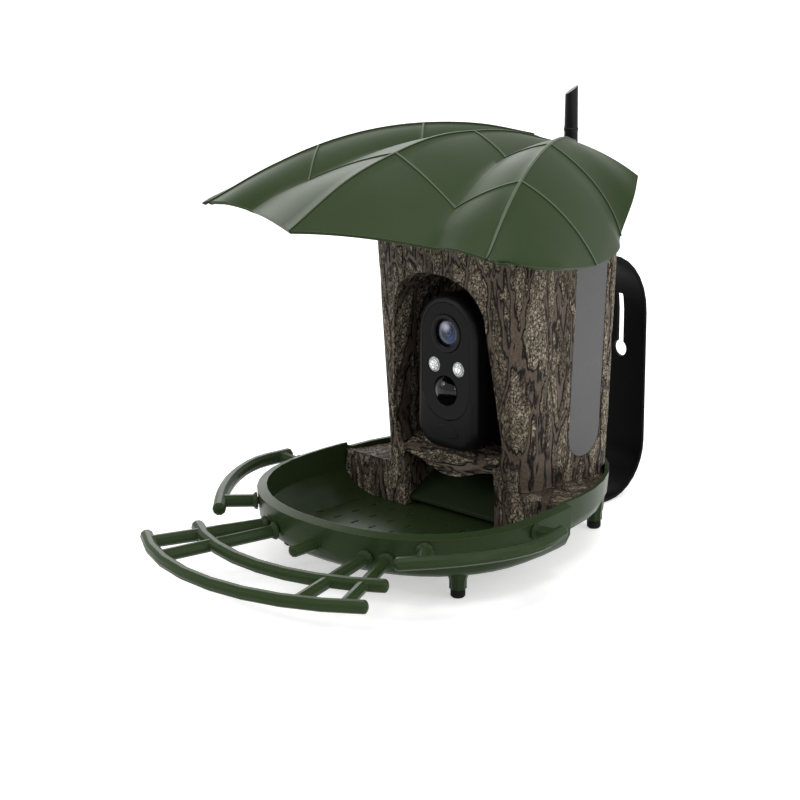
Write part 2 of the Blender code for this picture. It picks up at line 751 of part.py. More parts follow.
def under_height(x, y):
    """Height of the tray's underside over a point, from how far it lies inside the rim."""
    if y < TRAY_STEP_Y:
        wide, reach, power, origin = TRAY_HALF_WIDTH, TRAY_FRONT_REACH, TRAY_POWER, TRAY_WIDEST_Y
        width, rise, table = UNDER_WIDTH, UNDER_HEIGHT, UNDER_SHARES
    else:
        wide, reach, power, origin = BACK_HALF_WIDTH, BACK_REACH, BACK_POWER, TRAY_STEP_Y
        width, rise, table = BACK_UNDER_WIDTH, BACK_UNDER_HEIGHT, BACK_UNDER_SHARES
    low, high = 0, width
    for _ in range(20):
        inset = (low + high) / 2
        span = abs(x / (wide - inset)) ** power + abs((y - origin) / (reach - inset)) ** power
        low, high = (inset, high) if span < 1 else (low, inset)
    share = min(low / width, 1)
    for (near, level), (far, end) in zip(table, table[1:]):
        if share >= far:
            part = min((near - share) / (near - far), 1)
            return FLOOR_HEIGHT - FLOOR_THICKNESS + rise * (level + (end - level) * part)
    return FLOOR_HEIGHT - FLOOR_THICKNESS + rise


def foot_column(x, y):
    """A fluted foot column with a flare that follows the tray's underside."""
    level = FLOOR_HEIGHT - FLOOR_THICKNESS
    sides = FOOT_FLUTES * 2
    rings = []
    for z, extra in ((FOOT_BOTTOM, 0), (level - 2 * FOOT_FLARE, 0), (level - FOOT_FLARE, FOOT_FLARE / 3),
                     (level, FOOT_FLARE)):
        ring = []
        for i in range(sides):
            turn = math.tau * i / sides
            radius = FOOT_RADIUS + extra - FOOT_FLUTE * (1 - math.cos(FOOT_FLUTES * turn)) / 2
            across, along = x + radius * math.cos(turn), y + radius * math.sin(turn)
            ring.append((across, along, under_height(across, along) + BURY if z == level else z))
        rings.append(ring)
    return loft(rings)


def perch_stems():
    """Roots of every perch leg as (point inside the wall, point outside), on the right side."""
    return [OUTER_LEG, INNER_LEG, SIDE_FRONT_POST[::-1], SIDE_BACK_POST[::-1]]


def wall_crossing(stem):
    """Where a straight leg crosses the tray's outer wall, and its outward direction."""
    inner = Vector(stem[0])
    outer = Vector(stem[1])
    direction = (outer - inner).normalized()
    side = math.copysign(1, outer.x)
    outline = [Vector((side * x, y)) for x, y in front_outline(WALL_DRAFT / 2)]
    for a, b in zip(outline, outline[1:]):
        run = outer.xy - inner.xy
        edge = b - a
        spread = run.x * edge.y - run.y * edge.x
        along = ((a.x - inner.x) * edge.y - (a.y - inner.y) * edge.x) / spread
        across = ((a.x - inner.x) * run.y - (a.y - inner.y) * run.x) / spread
        if 0 <= across <= 1 and along > 0:
            return inner + (outer - inner) * along, direction
    return inner, direction


def build_tray():
    """The tray with its feet, peg, strap bosses, drain slots and sockets."""
    tray = add_part("tray", loft(tray_rings()), "green")

    feet = [foot_column(side * x, y) for x, y in FOOT_PLACES.values() for side in (-1, 1)]
    peg_root = TRAY_WIDEST_Y - TRAY_FRONT_REACH + PEG_ROOT
    peg = rod([(0, peg_root, PEG_HEIGHT), (0, peg_root - PEG_ROOT - PEG_LENGTH, PEG_HEIGHT)], PEG_RADIUS)
    boss_top = FLOOR_HEIGHT - FLOOR_THICKNESS + BURY
    boss_bottom = ARM_BOTTOM + STRAP_THICKNESS + CLEARANCE
    bosses = [
        cylinder((side * SCREW_X, ARM_SCREW_Y, 0), (0, 0, 1), STRAP_BOSS_RADIUS, boss_bottom, boss_top)
        for side in (-1, 1)
    ]
    fuse(tray, merge(*feet, peg, *bosses), "tray_feet")

    cutters = []
    for column in range(SLOT_COLUMNS):
        x = SLOT_PITCH_X * (column - (SLOT_COLUMNS - 1) / 2)
        for row in range(SLOT_ROWS):
            y = SLOT_FIRST_Y - SLOT_PITCH_Y * row
            reach = TRAY_FRONT_REACH - SLOT_MARGIN
            depth = max(TRAY_WIDEST_Y - y, 0) / reach
            if depth ** TRAY_POWER + abs(x / (TRAY_HALF_WIDTH - SLOT_MARGIN)) ** TRAY_POWER > 1:
                continue
            low = (x - SLOT_WIDTH / 2, y - SLOT_LENGTH / 2, FLOOR_HEIGHT - OVERRUN)
            high = (x + SLOT_WIDTH / 2, y + SLOT_LENGTH / 2, FLOOR_HEIGHT + OVERRUN)
            cutters.append(box(low, high))
    cut(tray, merge(*cutters), "drain_slots")

    bores = []
    for x, y in FOOT_PLACES.values():
        for side in (-1, 1):
            bores.append(cylinder((side * x, y, FOOT_BOTTOM), (0, 0, 1), TIP_SPIGOT_RADIUS + CLEARANCE,
                                  -OVERRUN, TIP_SPIGOT_LENGTH + CLEARANCE, ROD_SIDES))
    for side in (-1, 1):
        bores.append(cylinder((side * SCREW_X, ARM_SCREW_Y, ARM_BOTTOM), (0, 0, 1), SHANK_RADIUS + CLEARANCE,
                              -OVERRUN, ARM_SCREW_LENGTH + CLEARANCE, ROD_SIDES))
        for x, y in POST_PLACES:
            bores.append(cylinder((side * x, y, 0), (0, 0, 1), SHANK_RADIUS + CLEARANCE,
                                  0, FLOOR_HEIGHT + COVE_HEIGHT, ROD_SIDES))
    cut(tray, merge(*bores), "screw_bores")

    sockets = []
    for stem in perch_stems():
        point, direction = wall_crossing(stem)
        sockets.append(cylinder(point, -direction, SPIGOT_RADIUS + CLEARANCE,
                                -OVERRUN, SPIGOT_DEPTH + CLEARANCE, ROD_SIDES))
    sockets = merge(*sockets)
    cut(tray, both_sides(sockets), "perch_sockets")


def wall_space():
    """The tray's outer wall, a clearance larger, which the perches' roots are cut by."""
    rings = []
    for z, inset in ((0, WALL_DRAFT), (RIM_FRONT_HEIGHT, 0), (RIM_FRONT_HEIGHT + OVERRUN * 2, 0)):
        half = front_outline(inset - CLEARANCE)
        ring = [(x, y, z) for x, y in half] + [(-x, y, z) for x, y in half[:0:-1]]
        rings.append(ring)
    return loft(rings)


def perch_leg(stem):
    """A straight leg with a collar at the tray's wall, tapered where it ends inside its outer bar."""
    point, direction = wall_crossing(stem)
    reach = (Vector(stem[1]) - point).length
    return turned([(LEG_RADIUS / 2, reach), (LEG_RADIUS, reach - LEG_RADIUS / 2),
                   (LEG_RADIUS, COLLAR_LENGTH * 2), (COLLAR_RADIUS, COLLAR_LENGTH),
                   (COLLAR_RADIUS, -COLLAR_RADIUS)], point, direction, ROD_SIDES)


def build_perch(name, bars, stems):
    """A perch of curved bars on straight legs, whose spigots plug into the tray's wall."""
    perch = add_part(name, rod(bars[0], ROD_RADIUS), "green")
    for index, bar in enumerate(bars[1:]):
        fuse(perch, rod(bar, ROD_RADIUS), f"{name}_bar_{index}")
    for index, stem in enumerate(stems):
        fuse(perch, perch_leg(stem), f"{name}_leg_{index}")
    wall = cut(perch, wall_space(), name + "_wall")
    spigots = []
    for stem in stems:
        point, direction = wall_crossing(stem)
        spigots.append(cylinder(point, -direction, SPIGOT_RADIUS, -COLLAR_RADIUS, SPIGOT_DEPTH, ROD_SIDES))
    cut(wall, merge(*spigots), name + "_spigots")


def flipped(points):
    """Mirror a run of points to the left side."""
    return [(-x, y, z) for x, y, z in points]


def build_perches():
    """The front perch and the two side perches."""
    legs = [OUTER_LEG, INNER_LEG, flipped(OUTER_LEG), flipped(INNER_LEG)]
    bars = [bar_arc(OUTER_BAR_END, OUTER_BAR_FRONT), bar_arc(INNER_BAR_END, INNER_BAR_FRONT)]
    build_perch("front_perch", bars, legs)
    bar = [tuple(point) for point in smooth_path(SIDE_BAR, 3)]
    posts = [SIDE_FRONT_POST[::-1], SIDE_BACK_POST[::-1]]
    build_perch("right_perch", [bar], posts)
    build_perch("left_perch", [flipped(bar)], [flipped(post) for post in posts])


def build_feet():
    """Rubber tips plugged into the foot columns."""
    for place_name, (x, y) in FOOT_PLACES.items():
        for side, side_name in ((-1, "left"), (1, "right")):
            top = FOOT_BOTTOM - CLEARANCE
            profile = [(0, GROUND), (TIP_RADIUS - TIP_ROUND, GROUND), (TIP_RADIUS, GROUND + TIP_ROUND),
                       (TIP_RADIUS, top), (TIP_SPIGOT_RADIUS, top),
                       (TIP_SPIGOT_RADIUS, top + TIP_SPIGOT_LENGTH), (0, top + TIP_SPIGOT_LENGTH)]
            tip = turned(profile, (side * x, y, 0), (0, 0, 1))
            add_part(f"foot_tip_{place_name}_{side_name}", tip, "rubber")


def side_x(z):
    """Half width of the housing at a height."""
    share = (z - BODY_BOTTOM) / (BODY_TOP - BODY_BOTTOM)
    return BODY_HALF_WIDTH + (BODY_TOP_HALF_WIDTH - BODY_HALF_WIDTH) * share


def front_y(z):
    """Depth of the housing's leaning front at a height."""
    share = (z - BODY_BOTTOM) / (BODY_TOP - BODY_BOTTOM)
    return BODY_FRONT_Y + (BODY_TOP_FRONT_Y - BODY_FRONT_Y) * share


def front_radius(z):
    """Radius of the housing's front corners at a height."""
    share = (z - BODY_BOTTOM) / (BODY_TOP - BODY_BOTTOM)
    return FRONT_RADIUS + (TOP_FRONT_RADIUS - FRONT_RADIUS) * share


def body_ring(z, inset):
    """The housing's rounded outline at a height."""
    corner = front_radius(z) - inset
    wide = side_x(z) - inset
    front = front_y(z) + inset
    back = BODY_BACK_Y - inset
    half = []
    flat = wide - corner
    for step in range(4):
        share = step / 4
        half.append((flat * share, front - BODY_CROWN * (1 - share * share)))
    for radius, centre_y, start in ((corner, front + corner, -90),
                                    (REAR_RADIUS - inset, back - REAR_RADIUS + inset, 0)):
        for step in range(CORNER_STEPS + 1):
            turn = math.radians(start + 90 * step / CORNER_STEPS)
            half.append((wide - radius + radius * math.cos(turn), centre_y + radius * math.sin(turn)))
    ring = [(x, y, z) for x, y in half]
    return ring + [(-x, y, z) for x, y, z in ring[:0:-1]]


def arch_outline(offset):
    """The niche's outline as (x, z), wide at the foot and round at the top."""
    half = [(ARCH_FOOT_HALF, NICHE_FOOT), (ARCH_WIDE_HALF, ARCH_WIDE_Z)]
    rise = ARCH_TOP_Z - ARCH_SPRING_Z
    for step in range(9):
        turn = math.radians(90) * step / 9
        half.append((ARCH_SPRING_HALF * math.cos(turn) ** (2 / ARCH_POWER),
                     ARCH_SPRING_Z + rise * math.sin(turn) ** (2 / ARCH_POWER)))
    half.append((0, ARCH_TOP_Z))
    outline = half + [(-x, z) for x, z in half[-2::-1]]
    return offset_loop(outline, offset) if offset else outline


def held_ring(z):
    """The housing's outline at a height, held inside the tray's rear wall."""
    inset = BACK_RIM_WIDTH + WALL_DRAFT + 2 * LOOSE
    ring = []
    for x, y, height in body_ring(z, 0):
        reach = abs(x / (BACK_HALF_WIDTH - inset)) ** BACK_POWER
        reach += (max(y - TRAY_STEP_Y, 0) / (BACK_REACH - inset)) ** BACK_POWER
        pull = max(reach, 1) ** (-1 / BACK_POWER)
        ring.append((x * pull, TRAY_STEP_Y + (y - TRAY_STEP_Y) * pull, height))
    return ring


def skirt_block():
    """The housing's lower block, which follows the inside of the tray's rear wall and its cove."""
    rings = []
    for out, up in COVE_SHARES[::-1]:
        inset = BACK_RIM_WIDTH + WALL_DRAFT + COVE_WIDTH * out + LOOSE
        half = [(x, max(y, TRAY_STEP_Y + LOOSE)) for x, y in back_outline(inset)]
        ring = half + [(-x, y) for x, y in half[-2::-1]]
        ring += [(-half[0][0], BODY_FRONT_Y), (half[0][0], BODY_FRONT_Y)]
        height = FLOOR_HEIGHT + COVE_HEIGHT * up + LOOSE
        rings.append([(x, y, height) for x, y in ring])
    rings.append([(x, y, BACK_RIM_HEIGHT) for x, y, z in rings[-1]])
    return loft(rings)


def fascia():
    """The front wall of the skirt, which reaches out to the inside of the tray's front section."""
    inner = LEG_INNER + WALL
    outline = [(inner, FLOOR_HEIGHT + LOOSE)]
    for out, up in COVE_SHARES[::-1]:
        outline.append((FASCIA_HALF_WIDTH - COVE_WIDTH * out, FLOOR_HEIGHT + COVE_HEIGHT * up + LOOSE))
    outline += [(FASCIA_HALF_WIDTH, BACK_RIM_HEIGHT), (inner, BACK_RIM_HEIGHT)]
    return prism_along_y(outline, BODY_FRONT_Y, TRAY_STEP_Y - LOOSE)


def above_skirt(gap):
    """Everything higher than a gap above the skirt's sloping top."""
    front = BODY_FRONT_Y - OVERRUN
    back = TRAY_STEP_Y + BACK_REACH + OVERRUN
    outline = [(front, BODY_TOP), (front, skirt_top(front) + gap)]
    for step in range(9):
        y = BODY_FRONT_Y + SKIRT_RUN * step / 8
        outline.append((y, skirt_top(y) + gap))
    outline += [(back, skirt_top(back) + gap), (back, BODY_TOP)]
    side = TRAY_HALF_WIDTH + OVERRUN
    return loft([[(x, y, z) for y, z in outline] for x in (-side, side)])


def pocket():
    """The hollow under the skirt's top on the right side."""
    inset = BACK_RIM_WIDTH + WALL_DRAFT + LOOSE + WALL
    inner = LEG_INNER + WALL
    outline = [(inner, TRAY_STEP_Y), (BACK_HALF_WIDTH - inset, TRAY_STEP_Y)]
    outline += [point for point in back_outline(inset)[1:] if point[0] > inner]
    outline.append((inner, outline[-1][1]))
    return loft([[(x, y, z) for x, y in outline] for z in (0, SKIRT_TOP - SKIRT_THICKNESS)])


def window_outline(inset):
    """A side window's outline as (y, z), round at its bottom."""
    radius = (WINDOW_BACK_Y - WINDOW_FRONT_Y) / 2
    middle = (WINDOW_BACK_Y + WINDOW_FRONT_Y) / 2
    points = [(WINDOW_FRONT_Y + inset, WINDOW_TOP - inset), (WINDOW_BACK_Y - inset, WINDOW_TOP - inset)]
    for step in range(13):
        turn = -math.pi * step / 12
        points.append((middle + (radius - inset) * math.cos(turn),
                       WINDOW_BOTTOM + radius + (radius - inset) * math.sin(turn)))
    return points


def build_skirt():
    """The skirt that the housing stands on, with pockets below and screw posts."""
    skirt = add_part("skirt", skirt_block(), "bark")
    fuse(skirt, both_sides(fascia()), "fascia")
    cut(skirt, above_skirt(0), "above_skirt")
    cut(skirt, both_sides(pocket()), "pockets")
    throat = box((-LEG_INNER, BODY_TOP_FRONT_Y, 0), (LEG_INNER, THROAT_BACK_Y, BODY_TOP))
    cut(skirt, throat, "skirt_throat")
    posts = []
    bores = []
    for x, y in POST_PLACES:
        head = SKIRT_TOP - SKIRT_THICKNESS
        posts.append(cylinder((x, y, 0), (0, 0, 1), POST_RADIUS, POST_FOOT, head + SKIRT_THICKNESS / 2,
                              ROD_SIDES))
        bores.append(cylinder((x, y, 0), (0, 0, 1), SHANK_RADIUS + CLEARANCE, 0, head, ROD_SIDES))
    fuse(skirt, both_sides(merge(*posts)), "posts")
    cut(skirt, both_sides(merge(*bores)), "post_bores")


def build_housing():
    """The bark housing: hopper walls, floor, window holes, hinge ears and screw bosses."""
    clear = BACK_RIM_HEIGHT + CLEARANCE
    foot = [(x, y, skirt_top(y) + CLEARANCE) for x, y, z in held_ring(clear)]
    rings = [foot, held_ring(clear - FLATNESS * 100), body_ring(clear, 0), body_ring(BODY_TOP, 0)]
    housing = add_part("housing", loft(rings), "bark")
    ears = []
    for side in (-1, 1):
        near, far = sorted(side * x for x in HOUSING_KNUCKLE)
        ears.append(box((near, EAR_FRONT_Y, EAR_FOOT), (far, BODY_BACK_Y, HINGE_Z)))
    ear_guide = merge(*ears)
    hollow = loft([body_ring(HOPPER_FLOOR, WALL), body_ring(BODY_TOP + OVERRUN, WALL)])
    cut(housing, hollow, "hopper")
    low, high = throat_space()
    cut(housing, low, "throat")
    cut(housing, high, "mouth")
    cut(housing, niche_space(), "arch")
    side = BODY_TOP_HALF_WIDTH
    window = loft([[(x, y, z) for y, z in window_outline(0)] for x in (side - OVERRUN * 3, side + OVERRUN)])
    cut(housing, both_sides(window), "windows")

    boss = cylinder((SCREW_X, BODY_BACK_Y - WALL, TAB_SCREW_Z), (0, -1, 0), POST_RADIUS, -BURY, BOSS_LENGTH,
                    ROD_SIDES)
    fuse(housing, both_sides(boss), "bosses")
    fuse(housing, ear_guide, "ears")
    knuckles = []
    for side in (-1, 1):
        near, far = HOUSING_KNUCKLE
        knuckles.append(cylinder((0, HINGE_Y, HINGE_Z), (side, 0, 0), KNUCKLE_RADIUS, near, far))
    fuse(housing, merge(*knuckles), "knuckles")

    bore = cylinder((SCREW_X, BODY_BACK_Y, TAB_SCREW_Z), (0, -1, 0), SHANK_RADIUS + CLEARANCE,
                    -OVERRUN, TAB_SCREW_LENGTH - HEAD_HEIGHT, ROD_SIDES)
    neck = cylinder((0, BODY_BACK_Y, ANTENNA_Z), (0, -1, 0), NECK_RADIUS + CLEARANCE, -OVERRUN, OVERRUN)
    pin = cylinder((0, HINGE_Y, HINGE_Z), (1, 0, 0), PIN_RADIUS + CLEARANCE, -PIN_HALF_LENGTH,
                   PIN_HALF_LENGTH)
    cut(housing, merge(both_sides(bore), neck, pin), "housing_bores")


def throat_space():
    """The room between the legs, from the hopper down to the tray."""
    low = box((-LEG_INNER, BODY_TOP_FRONT_Y, 0), (LEG_INNER, THROAT_BACK_Y, THROAT_TOP))
    top = NICHE_FOOT + OVERRUN / 2
    high = box((-LEG_INNER, BODY_TOP_FRONT_Y - OVERRUN, THROAT_TOP / 2),
               (LEG_INNER, SHELF_BREAK_Y + WALL, top))
    return low, high


def niche_space():
    """The room that the camera module hangs in."""
    return prism_along_y(arch_outline(0), BODY_TOP_FRONT_Y - OVERRUN, NICHE_BACK_Y)


def build_niche():
    """The liner behind the housing's arch, with the walls of the seed throat under it."""
    gap = WALL + CLEARANCE
    arch = prism_along_y(arch_outline(WALL), BODY_TOP_FRONT_Y - OVERRUN, NICHE_BACK_Y + WALL)
    liner = add_part("niche_liner", arch, "bark")
    legs = box((-LEG_INNER - WALL, BODY_TOP_FRONT_Y, 0),
               (LEG_INNER + WALL, NICHE_BACK_Y + WALL, NICHE_FOOT + BURY))
    fuse(liner, legs, "liner_legs")
    inside = loft([body_ring(HOPPER_FLOOR + CLEARANCE, gap), body_ring(BODY_TOP, gap)])
    combine(liner, "INTERSECT", inside, "liner_reach")
    low, high = throat_space()
    cut(liner, low, "liner_throat")
    cut(liner, high, "liner_mouth")
    cut(liner, niche_space(), "liner_niche")


def build_windows():
    """Clear panes set into the housing's side walls."""
    outline = window_outline(CLEARANCE)
    rings = []
    for depth in (PANE_RECESS, PANE_RECESS + PANE_THICKNESS):
        rings.append([(side_x(z) - depth, y, z) for y, z in outline])
    pane = loft(rings)
    add_part("left_window", mirror(pane), "pane")
    add_part("right_window", pane, "pane")


def sheet(top, bottom):
    """Close two equal grids of points, an upper and a lower skin, into one solid."""
    shape = bmesh.new()
    upper = [[shape.verts.new(point) for point in row] for row in top]
    lower = [[shape.verts.new(point) for point in row] for row in bottom]
    rows = len(upper)
    columns = len(upper[0])
    for i in range(rows - 1):
        for j in range(columns - 1):
            shape.faces.new((upper[i][j], upper[i][j + 1], upper[i + 1][j + 1], upper[i + 1][j]))
            shape.faces.new((lower[i][j], lower[i + 1][j], lower[i + 1][j + 1], lower[i][j + 1]))
    for j in range(columns - 1):
        for i in (0, rows - 1):
            shape.faces.new((upper[i][j], upper[i][j + 1], lower[i][j + 1], lower[i][j]))
    for i in range(rows - 1):
        for j in (0, columns - 1):
            shape.faces.new((upper[i][j], upper[i + 1][j], lower[i + 1][j], lower[i][j]))
    return shape


def build_shelf():
    """The camera shelf: a flat plate, and an apron that drops to a wavy front edge."""
    top = CAMERA_BOTTOM - CLEARANCE
    half = ARCH_FOOT_HALF - LOOSE
    break_y = SHELF_BREAK_Y + WALL + CLEARANCE
    plate = box((-half, break_y, top - SHELF_THICKNESS), (half, NICHE_BACK_Y - CLEARANCE, top))
    shelf = add_part("camera_shelf", plate, "bark")
    width = LEG_INNER - CLEARANCE
    upper = []
    lower = []
    for i in range(9):
        share = i / 8
        y = SHELF_BREAK_Y + (BODY_FRONT_Y - SHELF_BREAK_Y) * share
        ease = 1 - math.cos(math.radians(90) * share)
        row = []
        for j in range(17):
            x = width * (j / 8 - 1)
            edge = SHELF_EDGE_HEIGHT - SHELF_WAVE * (1 + math.cos(math.pi * x / width)) / 2
            row.append((x, y, top + (edge - top) * ease))
        upper.append(row)
        lower.append([(x, y, z - SHELF_THICKNESS) for x, y, z in row])
    back = break_y + BURY
    upper.insert(0, [(x, back, top) for x, y, z in upper[0]])
    lower.insert(0, [(x, back, z - SHELF_THICKNESS) for x, y, z in upper[0]])
    fuse(shelf, sheet(upper, lower), "apron")
    rail = box((RAIL_X, SHELF_BREAK_Y + OVERRUN, top - BURY),
               (RAIL_X + RAIL_WIDTH, NICHE_BACK_Y - OVERRUN, top + RAIL_HEIGHT))
    fuse(shelf, both_sides(rail), "rails")


def ramp_height(y):
    """Height of the seed ramp's top at a depth."""
    return HOPPER_FLOOR + RAMP_THICKNESS + CLEARANCE + (y - RAMP_WIDE_Y) * RAMP_SLOPE_SHARE


def build_ramp():
    """The sloping plate that leads seed from the hopper through the throat to the tray."""
    narrow = LEG_INNER - CLEARANCE
    wide = body_ring(HOPPER_FLOOR, WALL + CLEARANCE)
    half = [(x, y) for x, y, z in wide[:len(wide) // 2 + 1] if y > RAMP_WIDE_Y]
    outline = [(0, RAMP_FRONT_Y), (narrow, RAMP_FRONT_Y), (narrow, RAMP_WIDE_Y), (half[0][0], RAMP_WIDE_Y)]
    outline += half
    outline = outline + [(-x, y) for x, y in outline[:0:-1] if x > 0]
    ramp = loft([[(x, y, ramp_height(y) - drop) for x, y in outline] for drop in (RAMP_THICKNESS, 0)])
    add_part("seed_ramp", ramp, "green")


def roof_point(table, share):
    """A point of one of the roof's curves at a share of the way from its back edge."""
    x_share, y_share, z_share = curve_at(table, share)
    return Vector((ROOF_HALF_SPAN * x_share, ROOF_BACK_Y + (ROOF_TIP_Y - ROOF_BACK_Y) * y_share,
                   ROOF_EAVES + ROOF_RISE * z_share))


def roof_row(share):
    """One row of the roof's right half, from the midrib to the outer edge, with each point's relief."""
    midrib = roof_point(MIDRIB_SHARES, share)
    valley = roof_point(VALLEY_SHARES, share)
    side_rib = roof_point(SIDE_RIB_SHARES, share)
    edge = roof_point(EDGE_SHARES, share)
    row = [(midrib, RIB_HEIGHT)]
    out_share, up_share = curve_at(FLANK_SHARES, share)
    flank = (FLANK_BULGE * out_share, FLANK_BULGE * up_share)

    def span(start, end, columns, swell_by, leave, arrive):
        length = (end - start).length
        stops = [RIB_HALF_WIDTH / length] if leave else []
        stops += [i / columns for i in range(1, columns)]
        stops += [1 - RIB_HALF_WIDTH / length] if arrive else []
        for stop in stops:
            point = start.lerp(end, stop)
            swell = 4 * stop * (1 - stop)
            point.x += swell_by[0] * swell
            point.z += swell_by[1] * swell
            point.y -= LOBE_BULGE * swell * share ** 6
            row.append((point, 0))

    lobe = (0, LOBE_CROWN * (side_rib - midrib).length / ROOF_HALF_SPAN)
    span(midrib, valley, LOBE_COLUMNS, lobe, True, False)
    row.append((valley, 0))
    span(valley, side_rib, LOBE_COLUMNS, lobe, False, True)
    row.append((side_rib, RIB_HEIGHT))
    span(side_rib, edge, FLANK_COLUMNS, flank, True, False)
    row.append((edge, 0))
    return row


def roof_shares():
    """Shares of the way along the roof for its rows, with three close rows at each vein."""
    length = ROOF_BACK_Y - ROOF_TIP_Y
    near = VEIN_HALF_WIDTH / length * VEIN_FOOT_SHARE
    shares = [(i / ROOF_ROWS, 0) for i in range(ROOF_ROWS + 1)]
    shares = [(s, r) for s, r in shares if all(abs(s - vein) > near * 2 for vein in VEIN_SHARES)]
    for vein in VEIN_SHARES:
        shares += [(vein - near, 0), (vein, VEIN_HEIGHT), (vein + near, 0)]
    return sorted(shares)


def roof_shell():
    """The leaf: two lobed halves with raised ribs and veins, and a smooth underside."""
    grid = []
    for share, vein in roof_shares():
        right = [(point, max(relief, vein)) for point, relief in roof_row(share)]
        left = [(Vector((-point.x, point.y, point.z)), relief) for point, relief in right[:0:-1]]
        grid.append(left + right)
    rows = len(grid)
    columns = len(grid[0])
    top = []
    bottom = []
    for i in range(rows):
        upper = []
        lower = []
        for j in range(columns):
            point, relief = grid[i][j]
            along = grid[min(i + 1, rows - 1)][j][0] - grid[max(i - 1, 0)][j][0]
            across = grid[i][min(j + 1, columns - 1)][0] - grid[i][max(j - 1, 0)][0]
            normal = across.cross(-along).normalized()
            if normal.z < 0:
                normal.negate()
            upper.append(point + normal * relief)
            lower.append(point - normal * ROOF_THICKNESS)
        top.append(upper)
        bottom.append(lower)
    return sheet(top, bottom)


def underside(tree, x, y):
    """Height of the middle of the roof's wall above a point."""
    hit, normal, index, distance = tree.ray_cast(Vector((x, y, BODY_BOTTOM)), Vector((0, 0, 1)))
    return hit.z + ROOF_THICKNESS / 2


def web(tree, low, high):
    """An upright web from a flat foot up into the roof's wall."""
    corners = [(low[0], low[1]), (high[0], low[1]), (high[0], high[1]), (low[0], high[1])]
    return loft([[(x, y, low[2]) for x, y in corners], [(x, y, underside(tree, x, y)) for x, y in corners]])


def build_roof():
    """The hinged roof with its knuckles and the two ribs that rest on the housing's front wall."""
    shell = roof_shell()
    bmesh.ops.recalc_face_normals(shell, faces=shell.faces)
    tree = BVHTree.FromBMesh(shell)
    pivot = (0, HINGE_Y, HINGE_Z)
    roof = add_part("leaf_roof", shell, "roof_green", pivot)
    near, far = ROOF_KNUCKLE
    reach = KNUCKLE_RADIUS - CLEARANCE
    webs = []
    for side in (-1, 1):
        low_x, high_x = sorted((side * near, side * far))
        webs.append(web(tree, (low_x, HINGE_Y - reach, HINGE_Z), (high_x, HINGE_Y + reach, HINGE_Z)))
        low_x, high_x = sorted((side * (REST_X - REST_THICKNESS), side * REST_X))
        webs.append(web(tree, (low_x, REST_FRONT_Y, BODY_TOP + CLEARANCE), (high_x, REST_BACK_Y, BODY_TOP)))
    fuse(roof, merge(*webs), "roof_webs")
    knuckles = [cylinder(pivot, (side, 0, 0), KNUCKLE_RADIUS, near, far) for side in (-1, 1)]
    fuse(roof, merge(*knuckles), "roof_knuckles")
    cut(roof, cylinder(pivot, (1, 0, 0), PIN_RADIUS + CLEARANCE, -PIN_HALF_LENGTH, PIN_HALF_LENGTH),
        "roof_bore")
    head = PIN_RADIUS * 2
    profile = [(0, -PIN_HALF_LENGTH - PIN_RADIUS), (head, -PIN_HALF_LENGTH - PIN_RADIUS),
               (head, -PIN_HALF_LENGTH), (PIN_RADIUS, -PIN_HALF_LENGTH), (PIN_RADIUS, PIN_HALF_LENGTH),
               (0, PIN_HALF_LENGTH)]
    add_part("hinge_pin", turned(profile, pivot, (1, 0, 0)), "steel")


def camera_outline(half_width, bottom, top, foot_radius, inset):
    """A camera outline as (x, z): a round top and rounded lower corners."""
    wide = half_width - inset
    foot = foot_radius - inset
    points = []
    for step in range(ROUND_SIDES // 2 + 1):
        turn = math.pi * step / (ROUND_SIDES // 2)
        points.append((wide * math.cos(turn), top - half_width + wide * math.sin(turn)))
    for side, start in ((-1, 180), (1, 270)):
        for step in range(CORNER_STEPS):
            turn = math.radians(start + 90 * step / (CORNER_STEPS - 1))
            points.append((side * (wide - foot) + foot * math.cos(turn),
                           bottom + inset + foot + foot * math.sin(turn)))
    return points


def body_outline(inset):
    """The camera body's outline."""
    return camera_outline(CAMERA_HALF_WIDTH, CAMERA_BOTTOM, CAMERA_TOP, CAMERA_FOOT_RADIUS, inset)


def panel_outline(inset):
    """The front panel's outline, round at both ends."""
    return camera_outline(PANEL_HALF_WIDTH, PANEL_BOTTOM, PANEL_TOP, PANEL_HALF_WIDTH, inset)


def shell_cup(face_y, open_y, inset, edge, face_wall):
    """A camera half: a rounded closed end at one depth, and an open end at another."""
    sign = 1 if open_y > face_y else -1
    rings = []
    for step in range(5):
        turn = math.radians(90) * step / 4
        depth = face_y + sign * edge * (1 - math.sin(turn))
        margin = inset + edge * (1 - math.cos(turn))
        rings.append([(x, depth, z) for x, z in body_outline(margin)])
    rings = rings[::-1]
    rings.append([(x, open_y, z) for x, z in body_outline(inset)])
    inner = inset + CAMERA_WALL
    rings.append([(x, open_y, z) for x, z in body_outline(inner)])
    for step in range(3):
        turn = math.radians(90) * step / 2
        depth = face_y + sign * (face_wall + (edge - CAMERA_WALL) * (1 - math.sin(turn)))
        margin = inner + (edge - CAMERA_WALL) * (1 - math.cos(turn))
        rings.append([(x, depth, z) for x, z in body_outline(margin)])
    return loft(rings)


def front_holes(extra):
    """Openings in the camera's front for the lens, lamps and sensor."""
    holes = []
    for x, z, radius in ((0, LENS_Z, LENS_RING_RADIUS), (0, SENSOR_Z, SENSOR_RADIUS),
                         (-LAMP_X, LAMP_Z, LAMP_RADIUS), (LAMP_X, LAMP_Z, LAMP_RADIUS)):
        holes.append(cylinder((x, CAMERA_FRONT_Y, z), (0, 1, 0), radius + extra,
                              -OVERRUN, PANEL_THICKNESS + CAMERA_WALL + OVERRUN / 2))
    return merge(*holes)


